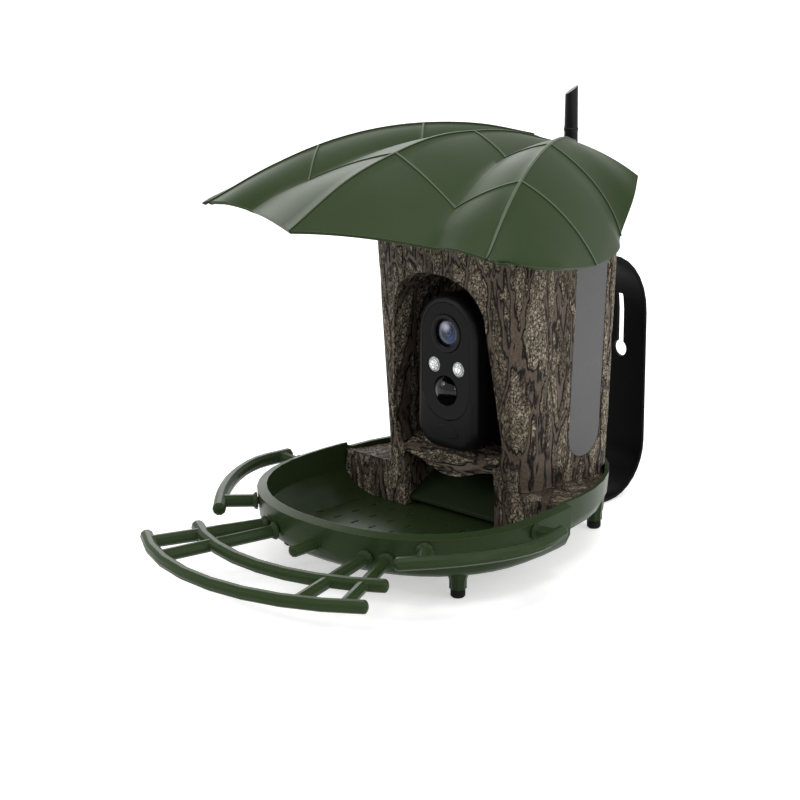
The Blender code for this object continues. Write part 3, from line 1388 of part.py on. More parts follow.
def build_camera():
    """The camera: two shells, a glossy panel, optics, board, battery, button and port cover."""
    cup = shell_cup(CAMERA_FRONT_Y, CAMERA_SPLIT_Y, 0, CAMERA_EDGE, CAMERA_WALL + PANEL_THICKNESS)
    front = add_part("camera_front_shell", cup, "black")
    badge = []
    for step in range(ROUND_SIDES):
        turn = math.tau * step / ROUND_SIDES
        badge.append((BADGE_HALF_WIDTH * math.cos(turn), BADGE_Z + BADGE_HALF_HEIGHT * math.sin(turn)))
    fuse(front, prism_along_y(badge, CAMERA_FRONT_Y - BADGE_PROUD, CAMERA_FRONT_Y + CAMERA_WALL), "badge")
    recess = PANEL_THICKNESS + CLEARANCE
    cut(front, prism_along_y(panel_outline(-CLEARANCE), CAMERA_FRONT_Y - OVERRUN, CAMERA_FRONT_Y + recess),
        "panel_recess")
    cut(front, front_holes(CLEARANCE), "shell_holes")
    panel = add_part("camera_panel",
                     prism_along_y(panel_outline(0), CAMERA_FRONT_Y, CAMERA_FRONT_Y + PANEL_THICKNESS),
                     "gloss_black")
    cut(panel, front_holes(CLEARANCE), "panel_holes")

    bore = LENS_GLASS_RADIUS + CLEARANCE
    ring = [(LENS_RING_RADIUS, 0), (LENS_RING_RADIUS - LENS_RING_PROUD, -LENS_RING_PROUD),
            (bore + LENS_RING_PROUD * 2, -LENS_RING_PROUD), (bore, LENS_RING_PROUD),
            (bore, LENS_RING_DEPTH), (LENS_RING_RADIUS, LENS_RING_DEPTH)]
    add_part("lens_ring", hollow_turned(ring, (0, CAMERA_FRONT_Y, LENS_Z), (0, 1, 0)), "black")
    glass_front = LENS_RING_PROUD
    dome = [(0, glass_front - LENS_RING_PROUD),
            (LENS_GLASS_RADIUS * SHOULDER_SHARE, glass_front - LENS_RING_PROUD * SHOULDER_SHARE),
            (LENS_GLASS_RADIUS, glass_front + LENS_RING_PROUD),
            (LENS_GLASS_RADIUS, glass_front + LENS_GLASS_DEPTH),
            (0, glass_front + LENS_GLASS_DEPTH)]
    add_part("lens_glass", turned(dome, (0, CAMERA_FRONT_Y, LENS_Z), (0, 1, 0)), "glass")
    barrel_front = glass_front + LENS_GLASS_DEPTH + CLEARANCE
    barrel_end = BOARD_FRONT_Y - CLEARANCE - CAMERA_FRONT_Y
    add_part("lens_barrel", cylinder((0, CAMERA_FRONT_Y, LENS_Z), (0, 1, 0), LENS_BARREL_RADIUS,
                                     barrel_front, barrel_end), "black")
    for side, side_name in ((-1, "left"), (1, "right")):
        lamp = [(0, -LAMP_PROUD), (LAMP_RADIUS * SHOULDER_SHARE, -LAMP_PROUD * SHOULDER_SHARE),
                (LAMP_RADIUS, 0),
                (LAMP_RADIUS, LAMP_DEPTH), (0, LAMP_DEPTH)]
        add_part(f"lamp_window_{side_name}",
                 turned(lamp, (side * LAMP_X, CAMERA_FRONT_Y, LAMP_Z), (0, 1, 0)),
                 "lamp")
        emitter = cylinder((side * LAMP_X, CAMERA_FRONT_Y, LAMP_Z), (0, 1, 0), LAMP_RADIUS / 2,
                           LAMP_DEPTH + CLEARANCE, barrel_end, ROD_SIDES)
        add_part(f"lamp_{side_name}", emitter, "lamp")
    outer = [(0, -SENSOR_DOME)]
    for angle in (65, 45, 25, 8):
        turn = math.radians(angle)
        outer.append((SENSOR_RADIUS * math.cos(turn), -SENSOR_DOME * math.sin(turn)))
    outer += [(SENSOR_RADIUS, 0), (SENSOR_RADIUS, SENSOR_DEPTH), (SENSOR_RADIUS - SENSOR_WALL, SENSOR_DEPTH),
              (SENSOR_RADIUS - SENSOR_WALL, 0),
              (SENSOR_RADIUS * SHOULDER_SHARE, -SENSOR_DOME * SHOULDER_SHARE),
              (0, SENSOR_WALL - SENSOR_DOME)]
    add_part("motion_dome", turned(outer, (0, CAMERA_FRONT_Y, SENSOR_Z), (0, 1, 0)), "gloss_black")
    add_part("motion_element", cylinder((0, BOARD_FRONT_Y - CLEARANCE, SENSOR_Z), (0, -1, 0), ELEMENT_RADIUS,
                                        0, ELEMENT_LENGTH), "steel")
    board = box((-BOARD_HALF_WIDTH, BOARD_FRONT_Y, BOARD_BOTTOM),
                (BOARD_HALF_WIDTH, BOARD_FRONT_Y + BOARD_THICKNESS, BOARD_TOP))
    add_part("circuit_board", board, "board")
    battery_y = BOARD_FRONT_Y + BOARD_THICKNESS + BATTERY_RADIUS + LOOSE
    tip = BATTERY_RADIUS / 3
    add_part("battery",
             turned([(0, BATTERY_BOTTOM), (BATTERY_RADIUS, BATTERY_BOTTOM), (BATTERY_RADIUS, BATTERY_TOP),
                                (tip, BATTERY_TOP), (tip, BATTERY_TOP + WALL / 2),
                                (0, BATTERY_TOP + WALL / 2)],
                               (0, battery_y, 0), (0, 0, 1)), "battery")

    cup = shell_cup(CAMERA_BACK_Y, CAMERA_SPLIT_Y + CLEARANCE, REAR_SHELL_INSET, REAR_EDGE, CAMERA_WALL)
    rear = add_part("camera_rear_shell", cup, "black")
    button_hole = cylinder((0, CAMERA_BACK_Y, BUTTON_Z), (0, -1, 0), BUTTON_RADIUS + CLEARANCE,
                           -OVERRUN, OVERRUN)
    port = box((-PORT_HALF_WIDTH + COVER_LAP, CAMERA_BACK_Y - OVERRUN, PORT_BOTTOM + COVER_LAP),
               (PORT_HALF_WIDTH - COVER_LAP, CAMERA_BACK_Y + OVERRUN, PORT_TOP - COVER_LAP))
    cut(rear, merge(button_hole, port), "rear_holes")
    button_y = CAMERA_BACK_Y + BUTTON_PROUD
    foot = BUTTON_PROUD + CAMERA_WALL + CLEARANCE + BUTTON_TRAVEL
    flange = foot + WALL / 3
    add_part("power_button", turned([(0, 0), (BUTTON_RADIUS - LOOSE, 0), (BUTTON_RADIUS, LOOSE),
                                     (BUTTON_RADIUS, foot), (BUTTON_RADIUS + LOOSE * 2, foot),
                                     (BUTTON_RADIUS + LOOSE * 2, flange), (0, flange)],
                                    (0, button_y, BUTTON_Z), (0, -1, 0)), "rubber", (0, button_y, BUTTON_Z))
    cover_y = CAMERA_BACK_Y + CLEARANCE
    cover = box((-PORT_HALF_WIDTH, cover_y, PORT_BOTTOM),
                (PORT_HALF_WIDTH, cover_y + COVER_THICKNESS, PORT_TOP))
    add_part("port_cover", cover, "rubber", (0, cover_y + COVER_THICKNESS, PORT_BOTTOM))


def build_antenna():
    """The antenna: a foot through the back wall, a swivel collar, a fold pin and the stalk."""
    flange_y = BODY_BACK_Y + CLEARANCE
    centre = (0, flange_y, ANTENNA_Z)
    neck_end = -(WALL + CLEARANCE + NUT_THICKNESS + WALL)
    foot = turned([(0, neck_end), (NECK_RADIUS, neck_end), (NECK_RADIUS, 0), (FLANGE_RADIUS, 0),
                   (FLANGE_RADIUS, FLANGE_THICKNESS), (NECK_RADIUS, FLANGE_THICKNESS),
                   (NECK_RADIUS, FLANGE_THICKNESS + SPINDLE_LENGTH), (0, FLANGE_THICKNESS + SPINDLE_LENGTH)],
                  centre, (0, 1, 0))
    add_part("antenna_foot", foot, "black")
    bore = NECK_RADIUS + CLEARANCE
    nut_y = BODY_BACK_Y - WALL - CLEARANCE
    nut = add_part("antenna_nut",
                   cylinder((0, nut_y, ANTENNA_Z), (0, -1, 0), NUT_RADIUS, 0, NUT_THICKNESS, 6),
                   "steel")
    cut(nut, cylinder((0, nut_y, ANTENNA_Z), (0, -1, 0), bore, -OVERRUN, OVERRUN), "nut_bore")

    pivot = (0, ANTENNA_Y, ANTENNA_Z)
    swivel_start = FLANGE_THICKNESS + CLEARANCE
    cheek_start = ANTENNA_Y - flange_y - CHEEK_RADIUS - LOOSE
    collar = turned([(0, swivel_start), (SWIVEL_RADIUS - LOOSE, swivel_start),
                     (SWIVEL_RADIUS, swivel_start + LOOSE),
                     (SWIVEL_RADIUS, cheek_start), (0, cheek_start)], centre, (0, 1, 0))
    swivel = add_part("antenna_collar", collar, "black", pivot)
    socket = cylinder(centre, (0, 1, 0), bore, 0, FLANGE_THICKNESS + SPINDLE_LENGTH + CLEARANCE)
    cut(swivel, socket, "swivel_socket")
    cheeks = []
    for side in (-1, 1):
        near, far = sorted((side * CHEEK_INNER, side * CHEEK_OUTER))
        outline = [(flange_y + cheek_start - BURY, ANTENNA_Z - CHEEK_RADIUS)]
        for step in range(9):
            turn = math.radians(-90 + 180 * step / 8)
            outline.append((ANTENNA_Y + CHEEK_RADIUS * math.cos(turn),
                            ANTENNA_Z + CHEEK_RADIUS * math.sin(turn)))
        outline.append((flange_y + cheek_start - BURY, ANTENNA_Z + CHEEK_RADIUS))
        cheeks.append(loft([[(x, y, z) for y, z in outline] for x in (near, far)]))
    fuse(swivel, merge(*cheeks), "cheeks")
    cut(swivel,
        cylinder(pivot, (1, 0, 0), FOLD_PIN_RADIUS + CLEARANCE, -OVERRUN * 2, OVERRUN * 2, ROD_SIDES),
        "fold_bore")
    add_part("antenna_pin",
             cylinder(pivot, (1, 0, 0), FOLD_PIN_RADIUS, -CHEEK_OUTER, CHEEK_OUTER, ROD_SIDES),
             "steel")

    root = ANTENNA_Z + CHEEK_RADIUS + BURY
    profile = [(root, ANTENNA_ROOT_RADIUS - LOOSE), (root + LOOSE, ANTENNA_ROOT_RADIUS)]
    taper = (ANTENNA_TIP_RADIUS - ANTENNA_ROOT_RADIUS) / (ANTENNA_TIP - root)
    for drop, extra in ((-4, 0), (-3, 1), (3, 1), (4, 0)):
        z = ANTENNA_RING_Z + ANTENNA_RING * drop
        profile.append((z, ANTENNA_ROOT_RADIUS + taper * (z - root) + ANTENNA_RING * extra))
    rings = []
    for z, radius in profile:
        rings.append([(radius * math.cos(math.tau * i / ROUND_SIDES),
                       ANTENNA_Y + radius * math.sin(math.tau * i / ROUND_SIDES),
                       z) for i in range(ROUND_SIDES)])
    tip = []
    for i in range(ROUND_SIDES):
        turn = math.tau * i / ROUND_SIDES
        fall = ANTENNA_CUT * (1 + math.cos(turn - ANTENNA_CUT_HEADING)) / 2
        tip.append((ANTENNA_TIP_RADIUS * math.cos(turn), ANTENNA_Y + ANTENNA_TIP_RADIUS * math.sin(turn),
                    ANTENNA_TIP - fall))
    rings.append(tip)
    stalk = add_part("antenna_stalk", loft(rings), "black", pivot)
    half = CHEEK_INNER - CLEARANCE
    fuse(stalk, box((-half, ANTENNA_Y - half, ANTENNA_Z), (half, ANTENNA_Y + half, root + BURY)),
         "stalk_neck")
    fuse(stalk, cylinder(pivot, (1, 0, 0), EYE_RADIUS, -half, half), "stalk_eye")
    cut(stalk, cylinder(pivot, (1, 0, 0), FOLD_PIN_RADIUS + CLEARANCE, -OVERRUN, OVERRUN, ROD_SIDES),
        "stalk_bore")


def strap_path():
    """Middle line of the strap as (y, z, direction), from its tab round to its lower arm."""
    half = STRAP_THICKNESS / 2
    tab_y = BODY_BACK_Y + CLEARANCE + half
    top = STRAP_TOP - half
    path = [(tab_y, TAB_BOTTOM, 90)]
    for step in range(5):
        turn = 180 - 90 * step / 4
        path.append((tab_y + TAB_BEND + TAB_BEND * math.cos(math.radians(turn)),
                     top - TAB_BEND + TAB_BEND * math.sin(math.radians(turn)), turn - 90))
    for outer, high, centre_z in ((STRAP_HIGH_BEND, 90, STRAP_TOP - STRAP_HIGH_BEND),
                                  (STRAP_LOW_BEND, 0, ARM_BOTTOM + STRAP_LOW_BEND)):
        bend = outer - half
        for step in range(9):
            turn = high - 90 * step / 8
            path.append((STRAP_REAR_Y - outer + bend * math.cos(math.radians(turn)),
                         centre_z + bend * math.sin(math.radians(turn)), turn - 90))
    path.append((ARM_FRONT_Y, ARM_BOTTOM + half, 180))
    return path


def build_strap():
    """The wall strap: one bent band with a keyhole, fixed to the housing's back and under the tray."""
    half = STRAP_THICKNESS / 2
    corner = STRAP_CHAMFER
    section = []
    for u, v in ((-1, -1), (1, -1), (1, 1), (-1, 1)):
        first = (u * STRAP_HALF_WIDTH, v * (half - corner))
        second = (u * (STRAP_HALF_WIDTH - corner), v * half)
        section += [first, second] if u * v > 0 else [second, first]
    rings = []
    for y, z, heading in strap_path():
        out_y = -math.sin(math.radians(heading))
        out_z = math.cos(math.radians(heading))
        rings.append([(x, y + out_y * lift, z + out_z * lift) for x, lift in section])
    strap = add_part("wall_strap", loft(rings), "strap")
    slot = box((-KEYHOLE_SLOT, STRAP_REAR_Y - OVERRUN, KEYHOLE_Z),
               (KEYHOLE_SLOT, STRAP_REAR_Y + OVERRUN, KEYHOLE_TOP))
    cut(strap, slot, "keyhole_slot")
    cut(strap, cylinder((0, STRAP_REAR_Y, KEYHOLE_Z), (0, 1, 0), KEYHOLE_RADIUS, -OVERRUN, OVERRUN),
        "keyhole")
    holes = []
    for side in (-1, 1):
        holes.append(cylinder((side * SCREW_X, BODY_BACK_Y, TAB_SCREW_Z), (0, 1, 0),
                              SHANK_RADIUS + CLEARANCE,
                              -OVERRUN / 2, OVERRUN, ROD_SIDES))
        slope = SINK_RADIUS - SHANK_RADIUS
        sink = [(SINK_RADIUS + CLEARANCE, -OVERRUN / 2), (SINK_RADIUS + CLEARANCE, CLEARANCE),
                (SHANK_RADIUS + CLEARANCE, slope + CLEARANCE), (SHANK_RADIUS + CLEARANCE, OVERRUN)]
        holes.append(turned(sink, (side * SCREW_X, ARM_SCREW_Y, ARM_BOTTOM), (0, 0, 1), ROD_SIDES))
    cut(strap, merge(*holes), "strap_holes")


def build_screws():
    """Screws of the strap and of the housing."""
    head_y = BODY_BACK_Y + CLEARANCE * 2 + STRAP_THICKNESS + HEAD_HEIGHT
    for side, side_name in ((-1, "left"), (1, "right")):
        screw(f"strap_screw_{side_name}", (side * SCREW_X, head_y, TAB_SCREW_Z), (0, -1, 0),
              TAB_SCREW_LENGTH)
        screw(f"arm_screw_{side_name}", (side * SCREW_X, ARM_SCREW_Y, ARM_BOTTOM + CLEARANCE / 3), (0, 0, 1),
              ARM_SCREW_LENGTH, True)
        for (x, y), row in zip(POST_PLACES, ("front", "rear")):
            head_z = FLOOR_HEIGHT - FLOOR_THICKNESS - CLEARANCE - HEAD_HEIGHT
            screw(f"base_screw_{row}_{side_name}", (side * x, y, head_z), (0, 0, 1), BASE_SCREW_LENGTH)


def main():
    """Build the whole feeder."""
    clear_scene()
    feeder = bpy.data.objects.new("feeder", None)
    bpy.context.collection.objects.link(feeder)
    feeder.location = CENTRE
    build_tray()
    build_feet()
    build_perches()
    build_skirt()
    build_housing()
    build_niche()
    build_windows()
    build_shelf()
    build_ramp()
    build_roof()
    build_camera()
    build_antenna()
    build_strap()
    build_screws()


main()
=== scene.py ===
"""Looks of the smart bird feeder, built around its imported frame.

Every sub-assembly is a class with its sizes as dataclass fields. It builds its meshes, dresses them in
procedural finishes and hangs them on the bodies of the frame, so that they move with the joints.
"""

from __future__ import annotations

import json
import logging
import math
from collections.abc import Callable, Sequence
from dataclasses import dataclass
from enum import Enum

import bmesh
import bpy
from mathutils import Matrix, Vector
from mathutils.bvhtree import BVHTree

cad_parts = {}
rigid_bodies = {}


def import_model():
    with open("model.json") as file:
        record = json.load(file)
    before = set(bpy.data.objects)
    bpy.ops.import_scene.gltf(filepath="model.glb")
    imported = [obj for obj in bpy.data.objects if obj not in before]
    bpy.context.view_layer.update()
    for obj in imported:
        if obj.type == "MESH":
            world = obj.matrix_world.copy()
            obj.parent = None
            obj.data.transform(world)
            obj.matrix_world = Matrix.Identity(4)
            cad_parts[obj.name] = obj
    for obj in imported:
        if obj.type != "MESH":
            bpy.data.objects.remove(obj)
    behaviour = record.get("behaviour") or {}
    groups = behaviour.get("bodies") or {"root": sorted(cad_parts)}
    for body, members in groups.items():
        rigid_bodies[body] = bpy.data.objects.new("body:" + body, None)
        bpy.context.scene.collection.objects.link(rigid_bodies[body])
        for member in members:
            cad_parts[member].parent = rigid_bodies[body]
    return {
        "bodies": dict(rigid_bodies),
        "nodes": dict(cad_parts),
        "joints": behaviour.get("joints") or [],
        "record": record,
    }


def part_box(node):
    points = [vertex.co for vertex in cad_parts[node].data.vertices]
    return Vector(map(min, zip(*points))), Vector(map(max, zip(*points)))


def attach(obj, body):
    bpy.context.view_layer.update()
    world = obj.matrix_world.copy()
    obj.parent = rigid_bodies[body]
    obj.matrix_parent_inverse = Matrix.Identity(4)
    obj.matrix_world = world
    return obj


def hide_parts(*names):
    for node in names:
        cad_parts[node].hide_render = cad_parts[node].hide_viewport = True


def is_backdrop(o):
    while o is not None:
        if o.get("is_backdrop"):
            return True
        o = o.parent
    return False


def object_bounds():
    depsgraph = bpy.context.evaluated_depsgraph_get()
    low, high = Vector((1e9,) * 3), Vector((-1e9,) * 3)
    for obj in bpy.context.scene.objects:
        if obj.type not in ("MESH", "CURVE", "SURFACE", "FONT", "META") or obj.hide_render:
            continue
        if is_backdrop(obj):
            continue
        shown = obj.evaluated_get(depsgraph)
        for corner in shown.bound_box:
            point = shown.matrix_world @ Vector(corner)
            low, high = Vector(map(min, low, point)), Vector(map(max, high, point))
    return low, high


LOG = logging.getLogger("bird_feeder")
MM = 0.001
MERGE_DISTANCE = 0.01 * MM
DOME_STEPS = 12
SHARP_ANGLE = math.radians(32)
CAMERA_BODY = "camera"
WHITE = (1.0, 1.0, 1.0, 1.0)
FURROW_SWAYS = ((30.0, 0.026), (130.0, 0.012))
PLATES = 62.0
FLAKES = 250.0
FISSURES = 230.0
FIBRES = 430.0
BLOTCHES = 95.0
CRACK_RISE = 0.28
FIBRE_RISE = 0.34
FLAKE_RISE = 0.2
PLATE_RISE = 0.4
WIDTH_NOISE = 46.0
WIDTH_RANGE = (0.62, 1.9)
FURROW_EDGE = 0.19

Item = bpy.types.Object
Layer = bmesh.types.BMLayerItem
Material = bpy.types.Material
Node = bpy.types.Node
Shape = bmesh.types.BMesh
Socket = bpy.types.NodeSocket
Tree = bpy.types.NodeTree
Colour = tuple[int, int, int]
Loop = list[bmesh.types.BMVert]
Place = tuple[float, float, float]
Point = tuple[float, float]
Table = tuple[tuple[float, ...], ...]


class Grain(Enum):
    """Direction in which a bark moulding's furrows run, as how far each axis is stretched."""

    UPRIGHT = (1.0, 1.0, 0.24)
    ACROSS = (0.22, 1.0, 1.0)


def linear(colour: Sequence[int]) -> tuple[float, float, float, float]:
    """Turn an 8-bit display colour into the linear colour that sockets take.

    Args:
        colour: Red, green and blue from 0 to 255.

    Returns:
        Red, green, blue and alpha in linear light.
    """
    parts = []
    for value in colour:
        share = value / 255
        parts.append(share / 12.92 if share <= 0.04045 else ((share + 0.055) / 1.055) ** 2.4)
    return (parts[0], parts[1], parts[2], 1.0)


class NodeBuilder:
    """Adds nodes to one tree and joins them."""

    def __init__(self, tree: Tree) -> None:
        """Start on a tree and empty it."""
        self.tree = tree
        tree.nodes.clear()

    def add(self, kind: str, values: dict | None = None, **settings: object) -> Node:
        """Add a node.

        Args:
            kind: Type name of the node.
            values: Input values or sockets, by input name or index.
            settings: Properties of the node itself.

        Returns:
            The new node.
        """
        node = self.tree.nodes.new(kind)
        for name, value in settings.items():
            setattr(node, name, value)
        for key, value in (values or {}).items():
            if isinstance(value, Socket):
                self.tree.links.new(value, node.inputs[key])
            else:
                node.inputs[key].default_value = value
        return node

    def math(self, operation: str, first: Socket | float, second: Socket | float = 0.0,
             clamp: bool = False) -> Socket:
        """Add a Math node and return its output."""
        node = self.add("ShaderNodeMath", {0: first, 1: second}, operation=operation, use_clamp=clamp)
        return node.outputs[0]

    def times(self, first: Socket | float, second: Socket | float, clamp: bool = False) -> Socket:
        """Multiply two values."""
        return self.math("MULTIPLY", first, second, clamp)

    def plus(self, first: Socket | float, second: Socket | float, clamp: bool = False) -> Socket:
        """Add two values."""
        return self.math("ADD", first, second, clamp)

    def minus(self, first: Socket | float, second: Socket | float) -> Socket:
        """Subtract the second value from the first."""
        return self.math("SUBTRACT", first, second)

    def vector(self, operation: str, first: Socket, second: Socket | Sequence[float] | None = None,
               output: int | str = 0) -> Socket:
        """Add a Vector Math node and return its vector, or its value by the output's name."""
        values = {0: first} if second is None else {0: first, 1: second}
        return self.add("ShaderNodeVectorMath", values, operation=operation).outputs[output]

    def scaled(self, vector: Socket, factor: Socket | float) -> Socket:
        """Scale a vector."""
        return self.add("ShaderNodeVectorMath", {0: vector, "Scale": factor}, operation="SCALE").outputs[0]

    def length(self, vector: Socket) -> Socket:
        """Measure a vector."""
        return self.vector("LENGTH", vector, output="Value")

    def radial(self, place: Socket, centre: Sequence[float], radius: float) -> tuple[Socket, Socket]:
        """Return the offset from an axis along Y, and its length as a share of a radius."""
        offset = self.vector("MULTIPLY", self.vector("SUBTRACT", place, centre), (1.0, 0.0, 1.0))
        return offset, self.math("DIVIDE", self.length(offset), radius)

    def span(self, value: Socket, low: float, high: float, start: float = 0.0, end: float = 1.0) -> Socket:
        """Map a range of a value smoothly onto another range and return the output."""
        node = self.add("ShaderNodeMapRange", {0: value, 1: low, 2: high, 3: start, 4: end},
                        interpolation_type="SMOOTHSTEP")
        return node.outputs[0]

    def mix(self, share: Socket | float, first: Socket | Sequence[float],
            second: Socket | Sequence[float]) -> Socket:
        """Mix two colours and return the output."""
        return self.add("ShaderNodeMix", {0: share, 6: first, 7: second}, data_type="RGBA").outputs[2]

    def ramp(self, share: Socket, stops: Sequence[tuple], blend: str = "LINEAR") -> Socket:
        """Colour a share by a ramp.

        Args:
            share: The share.
            stops: Position and 8-bit display colour of each stop.
            blend: How the ramp goes from stop to stop.

        Returns:
            The colour.
        """
        node = self.add("ShaderNodeValToRGB", {0: share})
        node.color_ramp.interpolation = blend
        elements = node.color_ramp.elements
        while len(elements) < len(stops):
            elements.new(1.0)
        for element, (stop, colour) in zip(elements, stops):
            element.position = stop
            element.color = linear(colour)
        return node.outputs[0]

    def noise(self, place: Socket, scale: float, detail: float = 3.0, roughness: float = 0.55,
              output: int = 0) -> Socket:
        """Add a Noise Texture node and return its value, or its colour as output 1."""
        return self.add("ShaderNodeTexNoise", {"Vector": place, "Scale": scale, "Detail": detail,
                                               "Roughness": roughness}).outputs[output]

    def sway(self, place: Socket, reach: float, scale: float, detail: float = 2.0,
             roughness: float = 0.55) -> Socket:
        """Return a noisy offset of up to half the reach to every side."""
        noise = self.noise(place, scale, detail, roughness, 1)
        return self.scaled(self.vector("SUBTRACT", noise, (0.5, 0.5, 0.5)), reach)

    def attribute(self, name: str, kind: str = "FLOAT") -> Socket:
        """Read an attribute of the mesh in a Geometry Nodes tree."""
        return self.add("GeometryNodeInputNamedAttribute", {"Name": name}, data_type=kind).outputs[0]

    def seams(self, place: Socket, scale: Socket | float, randomness: float = 1.0) -> Socket:
        """Return how far a point lies from the border of its Voronoi cell."""
        return self.add("ShaderNodeTexVoronoi", {"Vector": place, "Scale": scale, "Randomness": randomness},
                        feature="DISTANCE_TO_EDGE").outputs["Distance"]


def furrow_field(build: NodeBuilder, place: Socket, plates: Socket) -> tuple[Socket, Socket]:
    """Add the nodes of the bark's plates. The relief and the colours use the same field.

    Args:
        build: Builder of the tree that gets the nodes.
        place: Stretched position on the piece.
        plates: How many plates there are to the metre.

    Returns:
        How far a point lies from the nearest furrow, in plates, and the bent position.
    """
    bent = place
    for scale, reach in FURROW_SWAYS:
        bent = build.vector("ADD", bent, build.sway(place, reach, scale))
    width = build.span(build.noise(place, WIDTH_NOISE, 2.0), 0.34, 0.66, *WIDTH_RANGE)
    return build.times(build.seams(bent, plates), width), bent


def named_tree(name: str, kind: str, inputs: dict[str, tuple[str, object]],
               outputs: dict[str, str]) -> tuple[NodeBuilder, Node]:
    """Start a node tree with named sockets.

    Args:
        name: Name of the tree.
        kind: Type name of the tree.
        inputs: Socket type and default by input name.
        outputs: Socket type by output name.

    Returns:
        The tree's builder and its input node.
    """
    tree = bpy.data.node_groups.new(name, kind)
    for label, (socket, default) in inputs.items():
        made = tree.interface.new_socket(label, in_out="INPUT", socket_type=f"NodeSocket{socket}")
        if default is not None:
            made.default_value = default
    for label, socket in outputs.items():
        tree.interface.new_socket(label, in_out="OUTPUT", socket_type=f"NodeSocket{socket}")
    build = NodeBuilder(tree)
    return build, build.add("NodeGroupInput")


def geometry_tree(name: str, inputs: dict[str, tuple[str, object]]) -> tuple[NodeBuilder, Node]:
    """Start a Geometry Nodes tree, with its geometry and its finish as first and last input."""
    every = {"Geometry": ("Geometry", None), **inputs, "Finish": ("Material", None)}
    return named_tree(name, "GeometryNodeTree", every, {"Geometry": "Geometry"})


def seeded_place(build: NodeBuilder, take: Node) -> Socket:
    """Return each point's position, moved up by the tree's seed."""
    seed = build.add("ShaderNodeCombineXYZ", {2: take.outputs["Seed"]}).outputs[0]
    return build.vector("ADD", build.add("GeometryNodeInputPosition").outputs[0], seed)


def push(build: NodeBuilder, take: Node, reach: Socket) -> Socket:
    """Move each point of the tree's geometry by a reach along its stored outward direction."""
    offset = build.scaled(build.attribute("outward", "FLOAT_VECTOR"), reach)
    moved = build.add("GeometryNodeSetPosition", {"Geometry": take.outputs["Geometry"], "Offset": offset})
    return moved.outputs[0]


def close_tree(build: NodeBuilder, take: Node, shape: Socket) -> Tree:
    """End a Geometry Nodes tree in real meshes with their finish.

    Args:
        build: The tree's builder.
        take: The tree's input node.
        shape: The geometry so far.

    Returns:
        The finished tree.
    """
    real = build.add("GeometryNodeRealizeInstances", {0: shape}).outputs[0]
    paint = build.add("GeometryNodeSetMaterial", {"Geometry": real, "Material": take.outputs["Finish"]})
    build.add("NodeGroupOutput", {"Geometry": paint.outputs[0]})
    return build.tree


